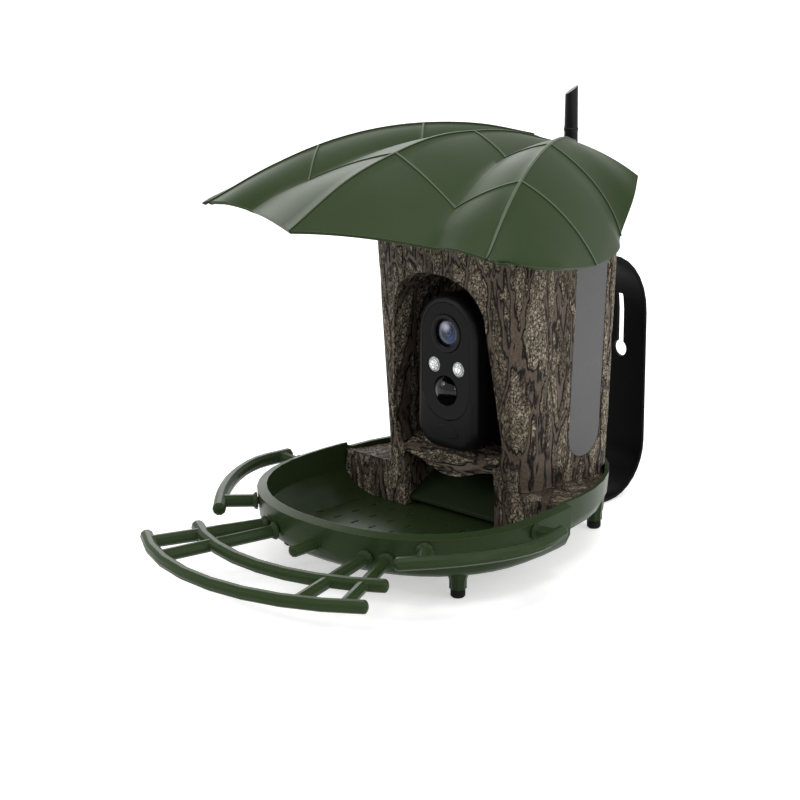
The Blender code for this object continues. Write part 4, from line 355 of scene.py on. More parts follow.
class SharedEffects:
    """Node groups that more than one finish uses, each built once."""

    def __init__(self) -> None:
        """Build the groups."""
        self.grain = self._moulded_grain()
        self.edges = self._edge_highlight()
        self.bark = self._bark_pattern()

    def grained(self, build: NodeBuilder, place: Socket, base: float, spread: float,
                grains: float = 2500.0) -> Node:
        """Add the moulded grain to a material."""
        return build.add("ShaderNodeGroup", {"Vector": place, "Base": base, "Spread": spread,
                                             "Grains": grains}, node_tree=self.grain)

    @staticmethod
    def _moulded_grain() -> Tree:
        """Fine spark-eroded grain of moulded plastic, with slow changes of tone.

        Returns:
            The group, with outputs Tone, Roughness and Height.
        """
        build, take = named_tree("moulded_grain", "ShaderNodeTree",
                                 {"Vector": ("Vector", None), "Grains": ("Float", 2500.0),
                                  "Base": ("Float", 0.4), "Spread": ("Float", 0.06)},
                                 {"Tone": "Float", "Roughness": "Float", "Height": "Float"})
        place = take.outputs["Vector"]
        swing = build.plus(build.noise(place, 22.0, 4.0), build.noise(place, 240.0, 5.0, 0.7))
        swing = build.minus(swing, 1.0)
        build.add("NodeGroupOutput", {
            "Tone": build.plus(build.times(swing, 0.22), 1.0),
            "Roughness": build.plus(take.outputs["Base"], build.times(swing, take.outputs["Spread"]), True),
            "Height": build.noise(place, take.outputs["Grains"], 2.0)})
        return build.tree

    @staticmethod
    def _edge_highlight() -> Tree:
        """Softened edges: a rounded normal, and a mask of the edges on which finishes paint their edge
        colour, a painted highlight where that colour is lighter.

        Returns:
            The group, with outputs Mask and Normal.
        """
        build, take = named_tree("edge_highlight", "ShaderNodeTree",
                                 {"Radius": ("Float", 0.5 * MM), "Gain": ("Float", 2.5)},
                                 {"Mask": "Float", "Normal": "Vector"})
        soft = build.add("ShaderNodeBevel", {"Radius": take.outputs["Radius"]}, samples=4).outputs[0]
        plain = build.add("ShaderNodeNewGeometry").outputs["Normal"]
        turn = build.vector("DOT_PRODUCT", soft, plain, output="Value")
        mask = build.times(build.minus(1.0, turn), take.outputs["Gain"], True)
        build.add("NodeGroupOutput", {"Mask": mask, "Normal": soft})
        return build.tree

    @staticmethod
    def _bark_pattern() -> Tree:
        """Furrows, flakes and fibres of bark on stretched object coordinates.

        Returns:
            The group, with outputs Distance, Flake, Crack, Fibre, Blotch and Height.
        """
        labels = ("Distance", "Flake", "Crack", "Fibre", "Blotch", "Height")
        build, take = named_tree("bark_pattern", "ShaderNodeTree",
                                 {"Vector": ("Vector", None), "Stretch": ("Vector", None),
                                  "Plates": ("Float", PLATES)}, dict.fromkeys(labels, "Float"))
        place, stretch = take.outputs["Vector"], take.outputs["Stretch"]
        distance, bent = furrow_field(build, build.vector("MULTIPLY", place, stretch), take.outputs["Plates"])
        loose = build.vector("ADD", place, bent)
        loose = build.vector("ADD", loose, build.sway(place, 0.009, 240.0, 5.0, 0.7))
        cells = build.add("ShaderNodeTexVoronoi", {"Vector": loose, "Scale": FLAKES, "Randomness": 1.0})
        flake = build.add("ShaderNodeSeparateColor", {0: cells.outputs["Color"]}).outputs[0]
        seams = build.span(build.seams(loose, FLAKES), 0.0, 0.16)
        split = build.math("ABSOLUTE", build.minus(build.noise(bent, FISSURES, 5.0, 0.65), 0.5))
        crack = build.times(seams, build.plus(build.times(build.span(split, 0.0, 0.035), 0.75), 0.25))
        fibre = build.span(build.noise(loose, FIBRES, 6.0, 0.78), 0.34, 0.66)
        streaks = build.vector("MULTIPLY", bent, stretch)
        blotch = build.span(build.noise(streaks, BLOTCHES, 4.0, 0.6), 0.36, 0.62)
        rise = build.plus(build.times(crack, CRACK_RISE), build.times(fibre, FIBRE_RISE))
        rise = build.plus(rise, build.times(flake, FLAKE_RISE))
        height = build.times(build.plus(rise, PLATE_RISE), build.span(distance, 0.04, 0.13))
        build.add("NodeGroupOutput", dict(zip(labels, (distance, flake, crack, fibre, blotch, height))))
        return build.tree


@dataclass(frozen=True)
class Finish:
    """A procedural finish, which reads object coordinates."""

    name: str

    def build(self, effects: SharedEffects) -> Material:
        """Make the material.

        Args:
            effects: The shared node groups.

        Returns:
            The new material.
        """
        material = bpy.data.materials.new(self.name)
        material.use_nodes = True
        build = NodeBuilder(material.node_tree)
        values = self.values(build, effects, build.add("ShaderNodeTexCoord").outputs["Object"])
        shader = build.add("ShaderNodeBsdfPrincipled", values)
        build.add("ShaderNodeOutputMaterial", {"Surface": shader.outputs[0]})
        return material

    def values(self, build: NodeBuilder, effects: SharedEffects, place: Socket) -> dict[str, object]:
        """Return the values and sockets that feed the finish's shader."""
        raise NotImplementedError


@dataclass(frozen=True)
class Plastic(Finish):
    """A moulded, painted or rubber finish of one colour."""

    colour: Colour
    roughness: float
    # edge: colour painted along rounded edges and rib crests; lighter than the body on most finishes, where
    # it is a painted highlight
    edge: Colour
    grains: float = 2600.0
    depth: float = 0.02 * MM
    spread: float = 0.06
    specular: float = 0.16
    metallic: float = 0.0
    radius: float = 0.45 * MM
    reliefs: tuple[str, ...] = ()
    # Colour of the painted shade along the foot of each rib or vein, and how strong that shade and the
    # crest's painted highlight are
    shade: Colour = (16, 22, 12)
    foot_shade_share: float = 0.75
    crest_highlight_share: float = 0.35

    def values(self, build: NodeBuilder, effects: SharedEffects, place: Socket) -> dict[str, object]:
        """Return a fine grain, rounded edges with their painted highlight, painted shade along the foot of
        each relief and a painted highlight on its crest.
        """
        grain = effects.grained(build, place, self.roughness, self.spread, self.grains).outputs
        edges = build.add("ShaderNodeGroup", {"Radius": self.radius}, node_tree=effects.edges).outputs
        toned = build.add("ShaderNodeHueSaturation", {"Color": linear(self.colour), "Value": grain["Tone"]})
        # Painted highlight: the edge mask mixes the edge colour in along rounded edges.
        colour = build.mix(edges["Mask"], toned.outputs[0], linear(self.edge))
        # Each relief's foot is darkened with painted shade, and its crest is lightened towards the edge
        # colour as a painted highlight.
        for name in self.reliefs:
            share = build.add("ShaderNodeAttribute", attribute_name=name).outputs["Fac"]
            foot = build.times(build.times(share, 4.0), build.minus(1.0, share))
            colour = build.mix(build.times(foot, self.foot_shade_share), colour, linear(self.shade))
            colour = build.mix(build.span(share, 0.9, 1.0, 0.0, self.crest_highlight_share), colour, linear(self.edge))
        bump = build.add("ShaderNodeBump", {"Strength": 0.6, "Distance": self.depth,
                                            "Height": grain["Height"], "Normal": edges["Normal"]})
        return {"Base Color": colour, "Roughness": grain["Roughness"], "Normal": bump.outputs[0],
                "Specular IOR Level": self.specular, "Metallic": self.metallic}


@dataclass(frozen=True)
class BarkFinish(Finish):
    """Moulded bark: pale flaking plates between smooth dark ridges."""

    grain: Grain
    pale: Colour = (236, 220, 192)
    middle: Colour = (110, 97, 81)
    crack: Colour = (32, 26, 21)
    ridge: Colour = (64, 53, 48)
    gap: Colour = (16, 12, 11)
    flake_light: float = 0.5
    fibre_light: float = 0.6
    blotch_light: Point = (0.45, 1.5)
    core_edge: Point = (0.035, 0.07)
    gap_edge: Point = (0.075, 0.135)
    depth: float = 2.4 * MM
    specular: float = 0.2

    def values(self, build: NodeBuilder, effects: SharedEffects, place: Socket) -> dict[str, object]:
        """Return flaky plates, the ridges between them and the gap beside each ridge."""
        bark = build.add("ShaderNodeGroup", {"Vector": place, "Stretch": self.grain.value, "Plates": PLATES},
                         node_tree=effects.bark).outputs
        distance, fibre = bark["Distance"], bark["Fibre"]
        lit = build.plus(build.times(bark["Flake"], self.flake_light), build.times(fibre, self.fibre_light))
        lit = build.times(lit, build.span(bark["Blotch"], 0.0, 1.0, *self.blotch_light), True)
        flaky = build.mix(lit, linear(self.middle), linear(self.pale))
        closed = build.times(bark["Crack"], build.span(fibre, 0.0, 0.4, 0.35, 1.0))
        flaky = build.mix(closed, linear(self.crack), flaky)
        core = build.mix(build.times(fibre, 0.75), linear(self.ridge), linear(self.middle))
        sunk = build.mix(build.span(distance, *self.core_edge), core, linear(self.gap))
        bump = build.add("ShaderNodeBump", {"Strength": 1.0, "Distance": self.depth,
                                            "Height": bark["Height"]})
        return {"Base Color": build.mix(build.span(distance, *self.gap_edge), sunk, flaky),
                "Roughness": build.span(distance, 0.02, 0.2, 0.5, 0.78), "Normal": bump.outputs[0],
                "Specular IOR Level": self.specular}


@dataclass(frozen=True)
class LensFinish(Finish):
    """Coated optics seen through the front element: rings of tint round a dark pupil, and two painted glints.
    """

    centre: Place
    radius: float
    glint_direction: Place = (-0.34, 0.0, 0.42)
    painted_glints: tuple[tuple, ...] = ((1.0, 0.62, 0.85, (240, 226, 230)), (-1.0, 0.7, 0.5, (66, 92, 142)))

    def values(self, build: NodeBuilder, effects: SharedEffects, place: Socket) -> dict[str, object]:
        """Return the rings, with a painted warm highlight at the upper left and a painted blue reflection
        across from it.
        """
        offset, share = build.radial(place, self.centre, self.radius)
        stops = ((0.0, (3, 3, 5)), (0.14, (3, 3, 5)), (0.21, (84, 98, 128)), (0.28, (6, 7, 11)),
                 (0.42, (36, 46, 72)), (0.62, (24, 30, 46)), (0.84, (88, 94, 110)), (0.95, (10, 11, 14)))
        colour = build.ramp(share, stops, "EASE")
        # Painted glints: a warm highlight and a blue reflection, each a soft spot of colour off the lens
        # axis.
        for side, reach, strength, tint in self.painted_glints:
            spot = tuple(part * self.radius * side for part in self.glint_direction)
            away = build.math("DIVIDE", build.length(build.vector("SUBTRACT", offset, spot)), self.radius)
            colour = build.mix(build.span(away, 0.05, reach, strength, 0.0), colour, linear(tint))
        grain = effects.grained(build, place, 0.3, 0.02)
        return {"Base Color": colour, "Roughness": grain.outputs["Roughness"], "Specular IOR Level": 0.1}


@dataclass(frozen=True)
class GlassFinish(Finish):
    """Clear optical glass with a trace of dust."""

    tint: Colour = (236, 242, 252)
    index: float = 1.2

    def values(self, build: NodeBuilder, effects: SharedEffects, place: Socket) -> dict[str, object]:
        """Return clear glass with a slightly uneven roughness."""
        grain = effects.grained(build, place, 0.02, 0.02)
        return {"Transmission Weight": 1.0, "IOR": self.index, "Base Color": linear(self.tint),
                "Roughness": grain.outputs["Roughness"]}


@dataclass(frozen=True)
class LampFinish(Finish):
    """A white lamp window with the rings and facets of its reflector."""

    centre: Place
    radius: float
    painted_glow: float = 0.35
    facets: float = 330.0
    seam: Colour = (70, 76, 78)

    def values(self, build: NodeBuilder, effects: SharedEffects, place: Socket) -> dict[str, object]:
        """Return the rings, the facets' dark seams and a slight painted glow that brightens them."""
        stops = ((0.0, (252, 252, 250)), (0.44, (246, 248, 247)), (0.56, (150, 156, 158)),
                 (0.66, (236, 240, 240)), (0.78, (84, 90, 92)), (0.9, (226, 230, 230)))
        rings = build.ramp(build.radial(place, self.centre, self.radius)[1], stops)
        facet = build.span(build.seams(place, self.facets, 0.8), 0.0, 0.2, 0.35, 1.0)
        colour = build.mix(facet, linear(self.seam), rings)
        grain = effects.grained(build, place, 0.12, 0.06)
        # Painted light: the window emits its own colours, which brightens the white.
        return {"Base Color": colour, "Emission Color": colour, "Emission Strength": self.painted_glow,
                "Roughness": grain.outputs["Roughness"], "Coat Weight": 0.8, "Coat Roughness": 0.03}


def smooth(shape: Shape, angle: float) -> None:
    """Shade a shape smoothly, but for edges that turn by more than an angle."""
    for face in shape.faces:
        face.smooth = True
    for edge in shape.edges:
        edge.smooth = len(edge.link_faces) == 2 and edge.calc_face_angle(math.pi) < angle


def to_object(name: str, shape: Shape, look: Material | None = None) -> Item:
    """Turn a shape into an object of the scene.

    Args:
        name: Name of the object and of its mesh.
        shape: The shape, which is freed.
        look: Material of the object.

    Returns:
        The new object.
    """
    mesh = bpy.data.meshes.new(name)
    shape.to_mesh(mesh)
    shape.free()
    if look:
        mesh.materials.append(look)
    item = bpy.data.objects.new(name, mesh)
    bpy.context.scene.collection.objects.link(item)
    return item


def to_shape(item: Item) -> Shape:
    """Turn an object back into a shape and remove the object."""
    shape = bmesh.new()
    shape.from_mesh(item.data)
    bpy.data.objects.remove(item)
    return shape


class Workshop:
    """The loaded frame, the finishes and the pieces made so far."""

    def __init__(self) -> None:
        """Load the frame and build the shared effects."""
        self.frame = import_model()
        self.cad_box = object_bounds()
        self.effects = SharedEffects()
        self.finishes: dict[str, Material] = {}
        self.slots = {row["node"]: row["material_slot"] for row in self.frame["record"]["subparts"]}
        self.bodies = {node: body for body, nodes in self.frame["record"]["behaviour"]["bodies"].items()
                       for node in nodes}

    def finish(self, look: Finish) -> Material:
        """Return a finish's material, and make it the first time."""
        if look.name not in self.finishes:
            self.finishes[look.name] = look.build(self.effects)
        return self.finishes[look.name]

    def copy(self, node: str) -> Shape:
        """Return a merged copy of a node's mesh."""
        shape = bmesh.new()
        shape.from_mesh(self.frame["nodes"][node].data)
        bmesh.ops.remove_doubles(shape, verts=shape.verts, dist=MERGE_DISTANCE)
        return shape

    def add(self, name: str, shape: Shape, look: Finish, angle: float = SHARP_ANGLE) -> Item:
        """Turn a shape into an object with a finish and smooth shading up to an angle."""
        smooth(shape, angle)
        return to_object(name, shape, self.finish(look))

    def seat(self, item: Item, *nodes: str, body: str | None = None) -> Item:
        """Let a piece ride on its body and stand for its nodes.

        Args:
            item: The finished piece.
            nodes: Nodes that the piece replaces. The first gives the body.
            body: The body, where the piece replaces no node.

        Returns:
            The same piece.
        """
        where = body or self.bodies[nodes[0]]
        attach(item, where)
        if nodes:
            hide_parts(*nodes)
        LOG.info("%s rides on %s, %d faces", item.name, where, len(item.data.polygons))
        return item

    def mould(self, node: str, look: Plastic, angle: float = SHARP_ANGLE) -> Item:
        """Replace a node by its merged, smoothly shaded copy.

        Args:
            node: Name of the node.
            look: Finish of the piece.
            angle: Edges that turn by more than this stay sharp.

        Returns:
            The new piece.
        """
        item = self.add(f"{node}_moulding", self.copy(node), look, angle)
        normals = item.modifiers.new("weighted_normals", "WEIGHTED_NORMAL")
        normals.keep_sharp = True
        return self.seat(item, node)

    def dress(self, node: str, look: Plastic) -> None:
        """Give a node that stays its finish."""
        target = self.frame["nodes"][node]
        target.data.materials.clear()
        target.data.materials.append(self.finish(look))
        LOG.info("%s keeps its own mesh", node)


def rectangle(left: float, right: float, near: float, far: float) -> tuple[Point, ...]:
    """Return the four corners of a rectangle in turn."""
    return (left, near), (right, near), (right, far), (left, far)


def cap(radius: float, pole: float, crown: float, steps: int = DOME_STEPS) -> list[Point]:
    """Return the profile of a domed cap, from its pole to its shoulder."""
    turns = [math.radians(90) * step / steps for step in range(1, steps + 1)]
    return [(0.0, pole)] + [(radius * math.sin(turn), pole + crown * (1 - math.cos(turn))) for turn in turns]


def bridge(shape: Shape, low: Loop, high: Loop) -> None:
    """Join two loops of points by faces. A loop that is one point over and over is a pole."""
    for i in range(len(low)):
        corners = list(dict.fromkeys((low[i - 1], low[i], high[i], high[i - 1])))
        if len(corners) > 2:
            shape.faces.new(corners)


def turned(rows: Sequence[tuple], corner: Callable[[tuple, float], Sequence[float]], sides: int) -> Shape:
    """Turn a profile about an axis, with closed poles.

    Args:
        rows: The profile. Each row starts with a radius, which is 0 at a pole.
        corner: Gives the place of a row's corner at a turn.
        sides: How many sides the turned piece has.

    Returns:
        The closed shape, with its faces outwards.
    """
    shape = bmesh.new()
    loops = []
    for row in rows:
        count = sides if row[0] > 0 else 1
        loop = [shape.verts.new(corner(row, math.tau * i / sides)) for i in range(count)]
        loops.append(loop * (sides // count))
    for low, high in zip(loops, loops[1:]):
        bridge(shape, low, high)
    bmesh.ops.recalc_face_normals(shape, faces=shape.faces)
    return shape


def revolve(profile: Sequence[Point], centre: Vector, sides: int = 64) -> Shape:
    """Turn a profile of radius and distance along Y, from front to back, about a centre."""
    return turned(profile, lambda row, turn: centre + Vector((row[0] * math.cos(turn), row[1],
                                                              row[0] * math.sin(turn))), sides)


def bark_relief() -> Tree:
    """Build the Geometry Nodes tree that presses furrows into a refined bark skin.

    Returns:
        The tree, with inputs Depth, Plates, Stretch, Seed and Finish.
    """
    build, take = geometry_tree("bark_relief", {
        "Depth": ("Float", 0.8 * MM), "Plates": ("Float", PLATES), "Stretch": ("Vector", Grain.UPRIGHT.value),
        "Seed": ("Float", 0.0)})
    place = build.vector("MULTIPLY", seeded_place(build, take), take.outputs["Stretch"])
    distance, _ = furrow_field(build, place, take.outputs["Plates"])
    depth = build.times(build.span(distance, 0.0, FURROW_EDGE, 1.0, 0.0), take.outputs["Depth"])
    reach = build.times(build.times(depth, build.attribute("skin")), -1.0)
    return close_tree(build, take, push(build, take, reach))


def bake(item: Item, tree: Tree, values: dict[str, object]) -> None:
    """Run a Geometry Nodes tree on an object and keep the result as a plain mesh.

    Args:
        item: The object, whose mesh is replaced.
        tree: The tree.
        values: Values of the tree's inputs by socket name.
    """
    modifier = item.modifiers.new(tree.name, "NODES")
    modifier.node_group = tree
    for socket in tree.interface.items_tree:
        if socket.item_type == "SOCKET" and socket.in_out == "INPUT" and socket.name in values:
            modifier[socket.identifier] = values[socket.name]
    graph = bpy.context.evaluated_depsgraph_get()
    mesh = bpy.data.meshes.new_from_object(item.evaluated_get(graph))
    item.modifiers.remove(modifier)
    item.data = mesh


@dataclass
class BarkMoulding:
    """One bark-skinned moulding, refined where the bark shows and pressed by the relief tree."""

    node: str
    grain: Grain
    shows: Callable[[Vector, Vector], bool]
    depth: float = 0.8 * MM
    edge_length: float = 1.9 * MM
    seed: float = 0.0
    border_share: float = 0.35
    rounds: int = 9

    def build(self, shop: Workshop, relief: Tree) -> Item:
        """Build the moulding.

        Args:
            shop: The workshop.
            relief: The relief tree.

        Returns:
            The finished piece.
        """
        shape = shop.copy(self.node)
        shape.normal_update()
        smooth(shape, SHARP_ANGLE)
        mark = shape.faces.layers.int.new("mark")
        for face in shape.faces:
            face[mark] = int(self.shows(face.calc_center_median(), face.normal))
        self._refine(shape, mark)
        self._measure(shape, mark)
        item = to_object(f"{self.node}_bark", shape)
        look = shop.finish(BarkFinish(f"bark_{self.grain.name.lower()}", self.grain))
        bake(item, relief, {"Depth": self.depth, "Stretch": self.grain.value, "Seed": self.seed,
                            "Finish": look})
        return shop.seat(item, self.node)

    def _refine(self, shape: Shape, mark: Layer) -> None:
        """Halve the long edges of the marked faces until all are short.

        Args:
            shape: The shape.
            mark: Face layer that is 1 where the bark shows.
        """
        for _ in range(self.rounds):
            long_edges = [edge for edge in shape.edges if edge.calc_length() > self.edge_length
                          and any(face[mark] for face in edge.link_faces)]
            if not long_edges:
                break
            bmesh.ops.subdivide_edges(shape, edges=long_edges, cuts=1)
            bmesh.ops.triangulate(shape, faces=[face for face in shape.faces if len(face.verts) > 3])

    def _measure(self, shape: Shape, mark: Layer) -> None:
        """Store how far each point belongs to the skin, and which way is outward there.

        Args:
            shape: The refined shape.
            mark: Face layer that is 1 where the bark shows.
        """
        shape.normal_update()
        skin = shape.verts.layers.float.new("skin")
        outward = shape.verts.layers.float_vector.new("outward")
        for vert in shape.verts:
            marked = [face for face in vert.link_faces if face[mark]]
            if not marked:
                continue
            total = sum((face.normal * face.calc_area() for face in marked), Vector())
            vert[outward] = total.normalized() if total.length > 0 else Vector((0, 0, 1))
            vert[skin] = 1.0 if len(marked) == len(vert.link_faces) else self.border_share


@dataclass
class Housing:
    """The bark housing, its skirt, niche and shelf, and the two level windows."""

    axis_y: float = 62 * MM
    skin_foot: float = 45.5 * MM
    skin_top: float = 257 * MM
    back_y: float = 119 * MM
    niche_half: float = 47 * MM
    niche_back: float = 64 * MM
    niche_rim: float = 6 * MM
    lean: float = 0.6
    outward: float = 0.55
    inward: float = 0.5
    frontal: float = 0.8
    sideways: float = 0.7
    skirt_facing: float = 0.5
    shelf_facing: float = 0.3
    niche_middle: float = 130 * MM
    leg_inner: float = 42.5 * MM
    pane: Plastic = Plastic("smoked_pane", (97, 97, 97), 0.42, (74, 74, 74), 1500.0, 0.03 * MM, 0.1, 0.12)
    # Darker than the tray's green: painted shade for the seed ramp under the shelf.
    ramp: Plastic = Plastic("seed_ramp_shaded_green", (34, 44, 27), 0.4, (48, 58, 40))

    def outer_skin(self, centre: Vector, normal: Vector) -> bool:
        """Whether a face of the housing lies on its outside."""
        away = Vector((centre.x, centre.y - self.axis_y, 0))
        inside = self.skin_foot < centre.z < self.skin_top and centre.y < self.back_y
        return inside and abs(normal.z) < self.lean and normal.dot(away) > self.outward * away.length

    def niche_skin(self, centre: Vector, normal: Vector) -> bool:
        """Whether a face of the liner looks into the niche."""
        if abs(centre.x) > self.niche_half or centre.y > self.niche_back + self.niche_rim:
            return False
        toward = Vector((-centre.x, 0, self.niche_middle - centre.z))
        facing = centre.y > self.niche_back and normal.y < -self.frontal
        return facing or normal.dot(toward) > self.inward * toward.length

    def skirt_skin(self, centre: Vector, normal: Vector) -> bool:
        """Whether a face of the skirt shows from above or from the front."""
        inner = abs(normal.x) > self.sideways and abs(centre.x) < self.leg_inner
        return max(-normal.y, normal.z) > self.skirt_facing or inner

    def shelf_skin(self, centre: Vector, normal: Vector) -> bool:
        """Whether a face of the shelf shows from above or from the front."""
        return max(-normal.y, normal.z) > self.shelf_facing

    def build(self, shop: Workshop) -> None:
        """Build the bark mouldings and the panes."""
        relief = bark_relief()
        for moulding in (
                BarkMoulding("housing", Grain.UPRIGHT, self.outer_skin, edge_length=2.6 * MM),
                BarkMoulding("niche_liner", Grain.UPRIGHT, self.niche_skin, depth=0.9 * MM, seed=0.31),
                BarkMoulding("skirt", Grain.UPRIGHT, self.skirt_skin, depth=0.5 * MM, seed=0.11),
                BarkMoulding("camera_shelf", Grain.ACROSS, self.shelf_skin, 0.9 * MM, 1.4 * MM)):
            moulding.build(shop, relief)
        for side in ("left", "right"):
            shop.mould(f"{side}_window", self.pane)
        shop.mould("seed_ramp", self.ramp)


@dataclass
class TrayAndPerches:
    """The green tray with its feet and the three perches."""

    green: Plastic = Plastic("tray_green", (46, 60, 35), 0.3, (100, 110, 90), 1900.0, 0.02 * MM, 0.07, 0.07)
    rubber: Plastic = Plastic("foot_rubber", (20, 21, 18), 0.75, (36, 37, 34), 1400.0, 0.04 * MM)

    def build(self, shop: Workshop) -> None:
        """Build the tray, the perches and the foot tips."""
        for node in ("tray", "front_perch", "left_perch", "right_perch"):
            shop.mould(node, self.green)
        for place in ("front_left", "front_right", "rear_left", "rear_right"):
            shop.mould(f"foot_tip_{place}", self.rubber)


def curve_at(table: Table, share: float) -> Vector:
    """Read a table of (share along, values...) smoothly at one share.

    Args:
        table: Rows of the curve, from its start to its end.
        share: Share of the way along.

    Returns:
        The values there.
    """
    last = len(table) - 1
    i = 0
    while i < last - 1 and share > table[i + 1][0]:
        i += 1
    rows = [Vector(table[min(max(j, 0), last)][1:]) for j in (i - 1, i, i + 1, i + 2)]
    if i == 0:
        rows[0] = rows[1] * 2 - rows[2]
    if i == last - 1:
        rows[3] = rows[2] * 2 - rows[1]
    t = (share - table[i][0]) / (table[i + 1][0] - table[i][0])
    a, b, c, d = rows
    return (b * 2 + (c - a) * t + (a * 2 - b * 5 + c * 4 - d) * t * t + (b * 3 - a - c * 3 + d) * t ** 3) / 2


@dataclass
class LeafRoof:
    """The leaf-shaped roof with its raised ribs and veins, its hinge knuckles and the pin."""

    # The reliefs give painted shade along the foot of each rib and vein and a painted highlight on its crest;
    # the light edge colour is a painted highlight too.
    green: Plastic = Plastic("roof_green", (47, 60, 36), 0.4, (122, 132, 112), 1900.0, 0.015 * MM, 0.06, 0.05,
                             radius=0.7 * MM, reliefs=("rib", "vein"))
    steel: Plastic = Plastic("pin_steel", (168, 168, 166), 0.28, (200, 200, 198), metallic=1.0)
    origin: Place = (0.0, 30.75 * MM, 1.5 * MM)
    half_span: float = 145 * MM
    back_y: float = 95 * MM
    tip_y: float = -160 * MM
    eaves: float = 213 * MM
    rise: float = 70 * MM
    thickness: float = 2.4 * MM
    rib_height: float = 1.0 * MM
    rib_half_width: float = 1.5 * MM
    vein_height: float = 0.8 * MM
    vein_half_width: float = 1.35 * MM
    ripple: float = 0.12 * MM
    lobe_bulge: float = 3.5 * MM
    lobe_crown: float = 3.5 * MM
    flank_bulge: float = 9 * MM
    veins: tuple[float, ...] = (0.333, 0.667)
    rows: int = 60
    lobe_columns: int = 8
    flank_columns: int = 14
    hinge: Point = (90 * MM, 252 * MM)
    knuckle: Point = (27 * MM, 35.6 * MM)
    knuckle_radius: float = 4 * MM
    bore_radius: float = 1.8 * MM
    rest_x: Point = (37 * MM, 40 * MM)
    rest_y: Point = (-30 * MM, -21 * MM)
    rest_z: float = 256.3 * MM
    vein_clearance: float = 1.3
    tip_power: int = 6
    knuckle_inset: float = 0.3 * MM
    bore_gap: float = 0.1 * MM
    crease: float = math.radians(50)
    midrib: Table = (
        (0, 0, 0, 0.714), (0.165, 0, 0.17, 0.895), (0.333, 0, 0.322, 0.972), (0.5, 0, 0.47, 0.991),
        (0.667, 0, 0.62, 0.914), (0.83, 0, 0.8, 0.742), (1, 0, 1, 0.4),
    )
    valley: Table = (
        (0, 0.062, 0, 0.729), (0.165, 0.157, 0.19, 0.81), (0.333, 0.258, 0.365, 0.81),
        (0.5, 0.357, 0.525, 0.735), (0.667, 0.448, 0.676, 0.556), (0.83, 0.51, 0.76, 0.45),
        (1, 0.563, 0.821, 0.322),
    )
    side_rib: Table = (
        (0, 0.128, 0, 0.757), (0.165, 0.255, 0.135, 0.886), (0.333, 0.388, 0.277, 0.93),
        (0.5, 0.507, 0.41, 0.895), (0.667, 0.618, 0.542, 0.783), (0.83, 0.735, 0.68, 0.58),
        (1, 0.852, 0.815, 0.31),
    )
    edge: Table = (
        (0, 0.514, 0, 0.52), (0.165, 0.6, 0.08, 0.36), (0.333, 0.642, 0.16, 0.07),
        (0.44, 0.724, 0.221, 0.003), (0.55, 0.807, 0.318, 0), (0.667, 0.891, 0.431, 0.029),
        (0.78, 0.962, 0.549, 0.1), (0.88, 1, 0.647, 0.171), (0.95, 0.982, 0.74, 0.235), (1, 0.9, 0.798, 0.29),
    )
    rib_profile: tuple[Point, ...] = ((0.45, 1.0), (0.6, 0.92), (0.85, 0.08), (1.0, 0.0))
    flank: Table = ((0, 0.2, 0.2), (0.333, 1, 0.4), (0.667, 0.6, 0.5), (1, 0.05, 0.1))

    def _point(self, table: Table, share: float) -> Vector:
        """Return a point of one of the roof's curves."""
        across, along, up = curve_at(table, share)
        return Vector((self.half_span * across, self.back_y + (self.tip_y - self.back_y) * along,
                       self.eaves + self.rise * up))

    def _row(self, share: float) -> list[tuple[Vector, float]]:
        """Lay one row of the right half, from the midrib to the outer edge.

        Args:
            share: Share of the way from the back edge to the front edge.

        Returns:
            Each point with its share of the rib's height.
        """
        midrib, valley, side_rib, edge = (self._point(table, share) for table in
                                          (self.midrib, self.valley, self.side_rib, self.edge))
        out_share, up_share = curve_at(self.flank, share)
        flank = (self.flank_bulge * out_share, self.flank_bulge * up_share)
        lobe = (0.0, self.lobe_crown * (side_rib - midrib).length / self.half_span)
        row = [(midrib, 1.0)]
        for start, end, columns, swell_by, leave, arrive in (
                (midrib, valley, self.lobe_columns, lobe, True, False),
                (valley, side_rib, self.lobe_columns, lobe, False, True),
                (side_rib, edge, self.flank_columns, flank, True, False)):
            foot = self.rib_half_width / (end - start).length
            near = [(foot * stop, up) for stop, up in self.rib_profile]
            low, high = foot * leave, 1 - foot * arrive
            stops = near * leave + [(low + (high - low) * i / columns, 0.0) for i in range(1, columns)]
            stops += [(1 - stop, up) for stop, up in reversed(near * arrive)]
            stops.append((1.0, float(arrive)))
            for stop, rib in stops:
                point = start.lerp(end, stop)
                swell = 4 * stop * (1 - stop)
                point.x += swell_by[0] * swell
                point.z += swell_by[1] * swell
                point.y -= self.lobe_bulge * swell * share ** self.tip_power
                row.append((point, rib))
        return row

    def _shares(self) -> list[Point]:
        """Return the rows' shares of the way along, each with its share of the vein's height."""
        near = self.vein_half_width / (self.back_y - self.tip_y)
        shares = [(i / self.rows, 0.0) for i in range(self.rows + 1)]
        shares = [row for row in shares
                  if all(abs(row[0] - vein) > near * self.vein_clearance for vein in self.veins)]
        for vein in self.veins:
            shares.append((vein, 1.0))
            shares += [(vein + side * near * stop, up) for stop, up in self.rib_profile for side in (-1, 1)]
        return sorted(shares)

